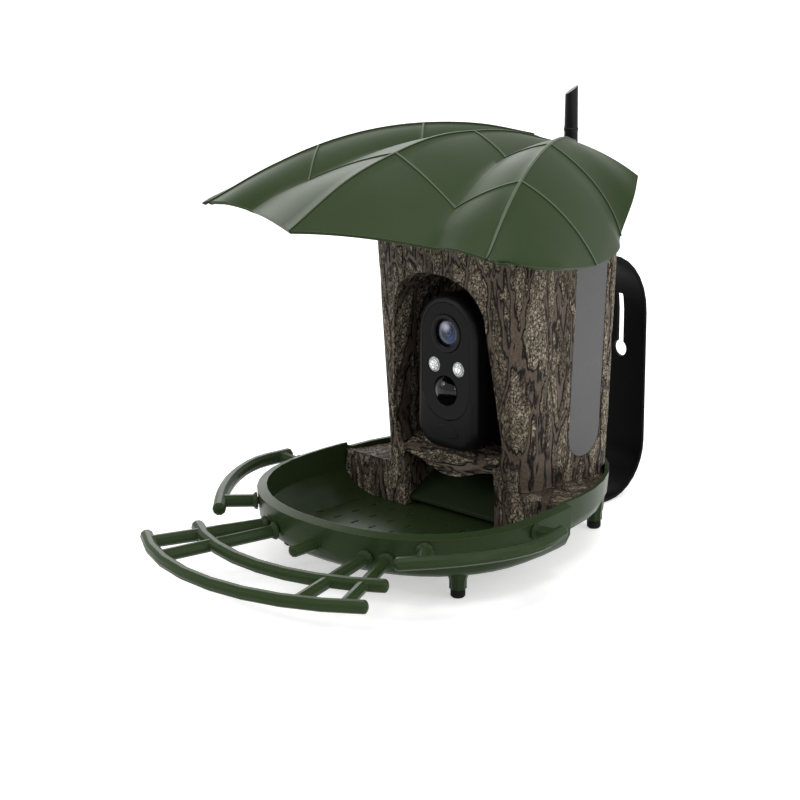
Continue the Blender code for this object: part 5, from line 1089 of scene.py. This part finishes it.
    def shell(self) -> Shape:
        """Build the smooth leaf, with how much rib and vein each point of its top carries.

        Returns:
            The closed shape.
        """
        grid = []
        for share, vein in self._shares():
            right = self._row(share)
            left = [(Vector((-point.x, point.y, point.z)), rib) for point, rib in right[:0:-1]]
            grid.append([(point, rib, vein) for point, rib in left + right])
        low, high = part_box("leaf_roof")
        shift = Vector(self.origin)
        shape = bmesh.new()
        layers = [shape.verts.layers.float.new(name) for name in ("rib", "vein")]
        outward = shape.verts.layers.float_vector.new("outward")
        last_row, last_column = len(grid) - 1, len(grid[0]) - 1
        top, bottom = [], []
        for i, row in enumerate(grid):
            top.append([])
            bottom.append([])
            for j, (point, *reliefs) in enumerate(row):
                along = grid[min(i + 1, last_row)][j][0] - grid[max(i - 1, 0)][j][0]
                across = row[min(j + 1, last_column)][0] - row[max(j - 1, 0)][0]
                normal = across.cross(-along).normalized()
                if normal.z < 0:
                    normal.negate()
                under = point - normal * self.thickness
                for sheet, place in ((top, point), (bottom, under)):
                    sheet[-1].append(shape.verts.new(self._inside(place + shift, low, high)))
                vert = top[-1][-1]
                vert[outward] = normal
                for layer, share in zip(layers, reliefs):
                    vert[layer] = share
        rims = [(top[k], bottom[k]) for k in (0, -1)]
        rims += [([row[k] for row in top], [row[k] for row in bottom]) for k in (0, -1)]
        strips = [pair for sheet in (top, bottom) for pair in zip(sheet, sheet[1:])]
        for one, other in strips + rims:
            for j in range(len(one) - 1):
                shape.faces.new((one[j], one[j + 1], other[j + 1], other[j]))
        bmesh.ops.recalc_face_normals(shape, faces=shape.faces)
        return shape

    @staticmethod
    def _inside(point: Vector, low: Vector, high: Vector) -> Vector:
        """Hold a point inside the box of the frame's roof."""
        return Vector([min(max(part, a), b) for part, a, b in zip(point, low, high)])

    @staticmethod
    def tree() -> Tree:
        """Build the tree that raises the ribs and veins out of the leaf.

        Returns:
            The tree, with inputs Rib Height, Vein Height, Ripple, Seed and Finish.
        """
        build, take = geometry_tree("leaf_ribs", {
            name: ("Float", None) for name in ("Rib Height", "Vein Height", "Ripple", "Seed")})
        rise = build.math("MAXIMUM", build.times(build.attribute("rib"), take.outputs["Rib Height"]),
                          build.times(build.attribute("vein"), take.outputs["Vein Height"]))
        ripple = build.times(build.noise(seeded_place(build, take), 40.0, 2.0), take.outputs["Ripple"])
        return close_tree(build, take, push(build, take, build.minus(rise, ripple)))

    def _web(self, shape: Shape, skin: BVHTree, span_x: Point, span_y: Point, foot: float) -> None:
        """Add an upright web from a flat foot up into the roof's wall.

        Args:
            shape: Shape that gets the web.
            skin: The leaf, to find its underside.
            span_x: Lowest and highest X in the drawing.
            span_y: Lowest and highest Y in the drawing.
            foot: Height of the foot in the drawing.
        """
        lower, upper = [], []
        for x, y in rectangle(*span_x, *span_y):
            corner = Vector((x, y, foot)) + Vector(self.origin)
            hit = skin.ray_cast(corner, Vector((0, 0, 1)))[0]
            lower.append(shape.verts.new(corner))
            upper.append(shape.verts.new((corner.x, corner.y, hit.z + self.thickness / 2)))
        shape.faces.new(lower)
        shape.faces.new(upper)
        bridge(shape, lower, upper)

    def _knuckle(self, shape: Shape, side: int, sides: int = 32) -> None:
        """Add a bored knuckle on the hinge line.

        Args:
            shape: Shape that gets the knuckle.
            side: -1 for the left and 1 for the right.
            sides: How many sides the knuckle has.
        """
        rings = []
        for radius, along in ((self.bore_radius, 0), (self.knuckle_radius, 0), (self.knuckle_radius, 1),
                              (self.bore_radius, 1)):
            x = side * (self.knuckle[0] + (self.knuckle[1] - self.knuckle[0]) * along)
            rings.append([shape.verts.new(Vector((x, self.hinge[0] + radius * math.cos(math.tau * i / sides),
                                                  self.hinge[1] + radius * math.sin(math.tau * i / sides)))
                                          + Vector(self.origin)) for i in range(sides)])
        for k in range(len(rings)):
            bridge(shape, rings[k - 1], rings[k])

    def build(self, shop: Workshop) -> None:
        """Build the roof and the pin."""
        leaf = self.shell()
        skin = BVHTree.FromBMesh(leaf)
        item = to_object("leaf", leaf)
        bake(item, self.tree(), {"Rib Height": self.rib_height, "Vein Height": self.vein_height,
                                 "Ripple": self.ripple, "Seed": 3.0, "Finish": shop.finish(self.green)})
        shape = to_shape(item)
        reach = self.knuckle_radius - self.knuckle_inset
        for side in (-1, 1):
            hinge_x = tuple(sorted(side * x for x in self.knuckle))
            rest_x = tuple(sorted(side * x for x in self.rest_x))
            self._web(shape, skin, hinge_x, (self.hinge[0] - reach, self.hinge[0] + reach),
                      self.hinge[1] + self.bore_radius + self.bore_gap)
            self._web(shape, skin, rest_x, self.rest_y, self.rest_z)
            self._knuckle(shape, side)
        bmesh.ops.recalc_face_normals(shape, faces=shape.faces)
        shop.seat(shop.add("leaf_roof_moulding", shape, self.green, self.crease), "leaf_roof")
        shop.mould("hinge_pin", self.steel)


@dataclass
class CameraModule:
    """The camera: two shells, gloss panel, lens, lamps, motion dome and what is inside."""

    shell: Plastic = Plastic("camera_black", (17, 17, 18), 0.42, (30, 30, 32), 2200.0, 0.015 * MM, 0.05, 0.14)
    panel: Plastic = Plastic("panel_gloss", (3, 3, 4), 0.04, (30, 30, 32), 1200.0, 0.0005 * MM, 0.01, 0.09)
    dome: Plastic = Plastic("dome_gloss", (3, 3, 4), 0.04, (12, 12, 13), 900.0, 0.0005 * MM, 0.01, 0.3)
    bezel: Plastic = Plastic("lens_bezel_black", (8, 8, 9), 0.3, (26, 26, 28), 2200.0, 0.01 * MM,
                             specular=0.12)
    rubber: Plastic = Plastic("button_rubber", (14, 14, 15), 0.6, (28, 28, 30), 1500.0, 0.03 * MM)
    rim: Plastic = Plastic("lamp_rim", (120, 122, 122), 0.25, (170, 170, 170), 1500.0, 0.005 * MM)
    board: Plastic = Plastic("board_green", (20, 70, 42), 0.45, (60, 96, 70), 700.0, 0.03 * MM)
    cell: Plastic = Plastic("battery_blue", (38, 84, 140), 0.35, (80, 120, 160), 800.0)
    steel: Plastic = Plastic("sensor_steel", (150, 150, 148), 0.3, (190, 190, 188), metallic=1.0)

    crease: float = math.radians(40)
    glass_wall: float = 0.5 * MM
    glass_play: float = 0.25 * MM
    bezel_step: float = 0.8 * MM
    pupil_share: float = 0.3
    lamp_edge: float = 0.5 * MM
    dome_wall: float = 1.0 * MM

    def build(self, shop: Workshop) -> None:
        """Build the module."""
        for node in ("camera_front_shell", "camera_rear_shell"):
            shop.mould(node, self.shell, self.crease)
        shop.mould("camera_panel", self.panel)
        for node in ("power_button", "port_cover"):
            shop.mould(node, self.rubber)
        self._lens(shop)
        self._lamps(shop)
        self._dome(shop)
        shop.mould("motion_element", self.steel)
        shop.mould("battery", self.cell)
        shop.dress("circuit_board", self.board)
        for side in ("left", "right"):
            shop.dress(f"lamp_{side}", self.rim)

    @staticmethod
    def _round(node: str) -> tuple[Vector, float, float]:
        """Return the middle, the radius and half the depth of a round node."""
        low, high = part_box(node)
        return (low + high) / 2, (high.x - low.x) / 2, (high.y - low.y) / 2

    def _lens(self, shop: Workshop) -> None:
        """Build the stepped bezel and the domed front element."""
        middle, outer, back = self._round("lens_ring")
        glass, radius, half = self._round("lens_glass")
        mouth = radius + self.glass_play
        step = mouth + self.bezel_step
        profile = [(mouth, min(back, glass.y + half - middle.y)), (mouth, 0.9 * MM - back),
                   (step, 0.55 * MM - back), (step, 0.3 * MM - back), (outer - 1.2 * MM, -back),
                   (outer - 0.35 * MM, 0.1 * MM - back), (outer, 0.5 * MM - back), (outer, back),
                   (mouth, back)]
        bezel = shop.add("lens_bezel", revolve(profile + profile[:1], middle), self.bezel)
        shop.seat(bezel, "lens_ring")
        inner = radius - self.glass_wall
        shell = [*cap(radius, -half, 2.0 * MM), (radius, 0.5 * MM), (inner, 0.5 * MM),
                 *cap(inner, self.glass_wall - half, 1.9 * MM)[::-1]]
        element = shop.add("lens_element", revolve(shell, glass), GlassFinish("lens_glass"))
        shop.seat(element, "lens_glass")
        pupil = radius * self.pupil_share
        cell = inner - 0.2 * MM
        bowl = [*cap(pupil, 0.5 * MM, 0.9 * MM), (pupil, 1.5 * MM), (pupil + 0.4 * MM, 1.5 * MM),
                (radius * 0.62, 0.95 * MM), (radius * 0.66, 0.6 * MM), (cell, 0.1 * MM), (cell, half),
                (0.0, half)]
        look = LensFinish("optics_painted_glints", tuple(glass), cell)
        shop.seat(shop.add("lens_optics", revolve(bowl, glass), look), body=CAMERA_BODY)
        shop.mould("lens_barrel", self.bezel)

    def _lamps(self, shop: Workshop) -> None:
        """Build the two white lamp windows, each with a grey rim."""
        for side in ("left", "right"):
            middle, radius, half = self._round(f"lamp_window_{side}")
            crown = half * 0.6
            inner = radius - self.lamp_edge
            dome = [*cap(inner, -half, crown, 8), (inner, half), (0.0, half)]
            look = LampFinish(f"lamp_white_{side}", tuple(middle), radius)
            cover = shop.add(f"lamp_cover_{side}", revolve(dome, middle, 48), look)
            shop.seat(cover, f"lamp_window_{side}")
            inner = radius - 0.45 * MM
            lip = crown - half
            rim = [(inner, half), (inner, lip), (radius - 0.2 * MM, lip - 0.15 * MM), (radius, lip),
                   (radius, half), (inner, half)]
            ring = shop.add(f"lamp_rim_{side}", revolve(rim, middle, 48), self.rim)
            shop.seat(ring, body=CAMERA_BODY)

    def _dome(self, shop: Workshop) -> None:
        """Build the dark dome over the motion sensor."""
        middle, radius, half = self._round("motion_dome")
        dome = cap(radius, -half, half * 1.7, 14)
        wall = self.dome_wall
        inside = [(max(out - wall, 0.0), along + wall) for out, along in dome[::-1]
                  if out > wall or out == 0.0]
        profile = [*dome, (radius, half), (radius - wall, half), *inside]
        shop.seat(shop.add("motion_cap", revolve(profile, middle), self.dome), "motion_dome")


@dataclass
class Antenna:
    """The antenna with its foot, nut, swivel collar and folding stalk."""

    black: Plastic = Plastic("antenna_black", (16, 16, 17), 0.42, (36, 36, 38), 1800.0, 0.03 * MM)
    steel: Plastic = Plastic("nut_steel", (150, 150, 148), 0.3, (196, 196, 194), metallic=1.0)

    def build(self, shop: Workshop) -> None:
        """Build the antenna."""
        for node in ("antenna_foot", "antenna_collar", "antenna_stalk"):
            shop.mould(node, self.black)
        for node in ("antenna_nut", "antenna_pin"):
            shop.mould(node, self.steel)


@dataclass
class WallStrap:
    """The bent steel strap behind the housing, powder coated black."""

    coat: Plastic = Plastic("strap_powder_coat", (7, 7, 8), 0.36, (40, 40, 42), 1300.0, 0.03 * MM, 0.08, 0.04)
    crease: float = math.radians(24)

    def build(self, shop: Workshop) -> None:
        """Build the strap."""
        shop.mould("wall_strap", self.coat, self.crease)


@dataclass
class ScrewSet:
    """Screws of one kind, placed on the seats of the frame's screws by a Geometry Nodes tree."""

    name: str
    nodes: tuple[str, ...]
    aim: Place
    length: float
    sunk: bool = False
    head: float = 3.1 * MM
    head_height: float = 2.0 * MM
    shank: float = 1.45 * MM
    pitch: float = 1.0 * MM
    socket: float = 1.5 * MM
    socket_depth: float = 1.1 * MM
    root_share: float = 0.8
    sides: int = 36

    def template(self, finish: Material) -> Item:
        """Build one screw with a hexagon socket. Its head's outer face is at the origin.

        Args:
            finish: The screw's material.

        Returns:
            The screw, with its shank along +Z.
        """
        rows = [(0.0, self.socket_depth), (self.socket, self.socket_depth * 0.9, True),
                (self.socket, 0.1 * MM, True), (self.socket + 0.15 * MM, 0.0, True)]
        if self.sunk:
            rows += [(self.head, 0.05 * MM), (self.head + 0.1 * MM, 0.15 * MM),
                     (self.shank, self.head - self.shank + 0.2 * MM)]
        else:
            rows += [(self.head * 0.72, 0.08 * MM), (self.head * 0.92, 0.3 * MM), (self.head, 0.75 * MM),
                     (self.head, self.head_height), (self.shank, self.head_height)]
        start = self.head if self.sunk else self.head_height
        root = self.shank * self.root_share
        for turn in range(int((self.length - start - self.pitch) / self.pitch)):
            level = start + self.pitch * (turn + 0.5)
            rows += [(self.shank, level), (root, level + self.pitch / 2)]
        rows += [(root, self.length - 0.5 * MM), (0.0, self.length)]
        return to_object(f"{self.name}_template", turned(rows, self._corner, self.sides), finish)

    @staticmethod
    def _corner(row: tuple, turn: float) -> Place:
        """Return a corner of a ring. A third value in the row makes the ring a hexagon."""
        radius, level, *hexagon = row
        facet = math.pi / 3
        reach = radius / math.cos((turn + facet / 2) % facet - facet / 2) if hexagon else radius
        return reach * math.cos(turn), reach * math.sin(turn), level

    @staticmethod
    def tree() -> Tree:
        """Build the tree that sets a screw on every seat, along the aim.

        Returns:
            The tree, with inputs Screw, Aim, Seed and Finish.
        """
        build, take = geometry_tree("screw_seats", {"Screw": ("Object", None), "Aim": ("Vector", None),
                                                    "Seed": ("Int", None)})
        screw = build.add("GeometryNodeObjectInfo", {"Object": take.outputs["Screw"]},
                          transform_space="ORIGINAL")
        spin = build.add("FunctionNodeRandomValue", {"Seed": take.outputs["Seed"]}, data_type="FLOAT")
        twist = build.add("ShaderNodeCombineXYZ", {2: build.times(spin.outputs[1], math.tau)})
        turn = build.add("FunctionNodeAlignRotationToVector", {"Vector": take.outputs["Aim"]}, axis="Z")
        both = build.add("FunctionNodeRotateRotation", {"Rotation": turn.outputs[0],
                                                        "Rotate By": twist.outputs[0]},
                         rotation_space="LOCAL")
        place = build.add("GeometryNodeInstanceOnPoints", {"Points": take.outputs["Geometry"],
                                                           "Instance": screw.outputs["Geometry"],
                                                           "Rotation": both.outputs[0]})
        return close_tree(build, take, place.outputs[0])

    def build(self, shop: Workshop, tree: Tree, look: Plastic) -> Item:
        """Set the screws and bake them to one piece.

        Args:
            shop: The workshop.
            tree: The tree that sets them.
            look: Their finish.

        Returns:
            The finished piece.
        """
        aim = Vector(self.aim)
        seats = bmesh.new()
        for node in self.nodes:
            low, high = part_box(node)
            seats.verts.new((low + high) / 2 - aim * abs((high - low).dot(aim)) / 2)
        item = to_object(self.name, seats)
        finish = shop.finish(look)
        single = self.template(finish)
        bake(item, tree, {"Screw": single, "Aim": self.aim, "Seed": 7, "Finish": finish})
        bpy.data.objects.remove(single)
        return shop.seat(shop.add(self.name, to_shape(item), look), *self.nodes)


@dataclass
class Fasteners:
    """The steel screws of the strap and of the housing."""

    sets: tuple[ScrewSet, ...] = (
        ScrewSet("strap_screws", ("strap_screw_left", "strap_screw_right"), (0.0, -1.0, 0.0), 11 * MM),
        ScrewSet("arm_screws", ("arm_screw_left", "arm_screw_right"), (0.0, 0.0, 1.0), 12 * MM, True),
        ScrewSet("base_screws", ("base_screw_front_left", "base_screw_front_right", "base_screw_rear_left",
                                 "base_screw_rear_right"), (0.0, 0.0, 1.0), 14 * MM),
    )
    steel: Plastic = Plastic("screw_steel", (150, 150, 148), 0.32, (190, 190, 188), metallic=1.0)

    def build(self, shop: Workshop) -> None:
        """Build the sets of screws."""
        tree = ScrewSet.tree()
        for screws in self.sets:
            screws.build(shop, tree, self.steel)


@dataclass
class Studio:
    """White floor and world, soft lamps, and the camera of the photograph."""

    location: Place = (1.21312, -1.31776, 0.61304)
    azimuth: float = 43.25
    elevation: float = 15.8
    lens: float = 125.0
    sensor: float = 36.0
    clip: Point = (0.05, 100.0)
    floor_half: float = 30.0
    world_strength: float = 0.62
    floor_tone: float = 0.86
    floor_roughness: float = 0.9
    floor_glow: float = 0.5
    lamps: tuple[tuple[str, Place, Point, float], ...] = (
        ("top_softbox", (0.15, 0.05, 1.75), (1.3, 1.3), 14.0),
        ("left_back_softbox", (-1.35, 0.95, 0.85), (1.1, 1.1), 8.0),
        ("left_front_softbox", (-1.2, -1.5, 1.0), (1.0, 1.0), 7.0),
        ("right_softbox", (1.6, 0.5, 0.9), (1.0, 1.0), 7.0),
        ("left_spot", (-0.9, -1.7, 1.1), (0.14, 0.14), 2.5),
        ("right_strip", (1.9, -0.62, 0.7), (0.09, 0.315), 3.0),
    )
    aim: Place = (0.0, 0.0, 0.12)

    def build(self) -> None:
        """Build the stage."""
        self._camera()
        self._world()
        self._floor()
        for name, place, size, power in self.lamps:
            lamp = bpy.data.lights.new(name, "AREA")
            lamp.shape = "ELLIPSE"
            lamp.size, lamp.size_y = size
            lamp.energy = power
            turn = (Vector(self.aim) - Vector(place)).to_track_quat("-Z", "Y").to_euler()
            self._hang(name, lamp, place, turn)
        bpy.context.scene.view_settings.view_transform = "Standard"

    @staticmethod
    def _hang(name: str, data: bpy.types.ID, place: Sequence[float], turn: Sequence[float]) -> Item:
        """Put a lamp or camera in the scene.

        Args:
            name: Name of the object.
            data: The lamp or camera.
            place: Its place.
            turn: Its rotation.

        Returns:
            The new object.
        """
        item = bpy.data.objects.new(name, data)
        bpy.context.scene.collection.objects.link(item)
        item.location = place
        item.rotation_euler = turn
        return item

    def _camera(self) -> None:
        """Add the camera at the photograph's place."""
        data = bpy.data.cameras.new("photo_camera")
        data.lens = self.lens
        data.sensor_width = self.sensor
        data.clip_start, data.clip_end = self.clip
        data.dof.use_dof = False
        turn = (math.radians(90 - self.elevation), 0, math.radians(self.azimuth))
        bpy.context.scene.camera = self._hang("photo_camera", data, self.location, turn)

    @staticmethod
    def _seen(build: NodeBuilder) -> Socket:
        """Return a mask of the rays that see the background itself."""
        path = build.add("ShaderNodeLightPath")
        direct = build.plus(path.outputs["Is Camera Ray"], path.outputs["Is Glossy Ray"], True)
        return build.plus(direct, path.outputs["Is Transmission Ray"], True)

    def _world(self) -> None:
        """Light the set evenly, and show white to rays that see the background."""
        world = bpy.data.worlds.new("studio_white")
        bpy.context.scene.world = world
        world.use_nodes = True
        build = NodeBuilder(world.node_tree)
        strength = build.add("ShaderNodeMapRange", {0: self._seen(build), 3: self.world_strength, 4: 1.0})
        back = build.add("ShaderNodeBackground", {"Color": WHITE, "Strength": strength.outputs[0]})
        build.add("ShaderNodeOutputWorld", {"Surface": back.outputs[0]})

    def _floor(self) -> None:
        """Lay a white floor that keeps a light shadow."""
        shape = bmesh.new()
        half = self.floor_half
        shape.faces.new([shape.verts.new((x, y, 0)) for x, y in rectangle(-half, half, -half, half)])
        material = bpy.data.materials.new("floor_white")
        material.use_nodes = True
        build = NodeBuilder(material.node_tree)
        shader = build.add("ShaderNodeBsdfPrincipled", {
            "Base Color": (self.floor_tone,) * 3 + (1.0,), "Roughness": self.floor_roughness,
            "Specular IOR Level": 0.0, "Emission Color": WHITE,
            "Emission Strength": build.times(self._seen(build), self.floor_glow)})
        build.add("ShaderNodeOutputMaterial", {"Surface": shader.outputs[0]})
        to_object("studio_floor", shape, material)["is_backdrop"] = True


def main() -> None:
    """Build every sub-assembly and report its pieces."""
    logging.basicConfig(level=logging.INFO, format="%(message)s")
    for item in list(bpy.data.objects):
        bpy.data.objects.remove(item)
    shop = Workshop()
    for assembly in (Housing(), TrayAndPerches(), LeafRoof(), CameraModule(), Antenna(), WallStrap(),
                     Fasteners()):
        assembly.build(shop)
        LOG.info("%s is dressed", type(assembly).__name__)
    Studio().build()


if __name__ == "__main__":
    main()
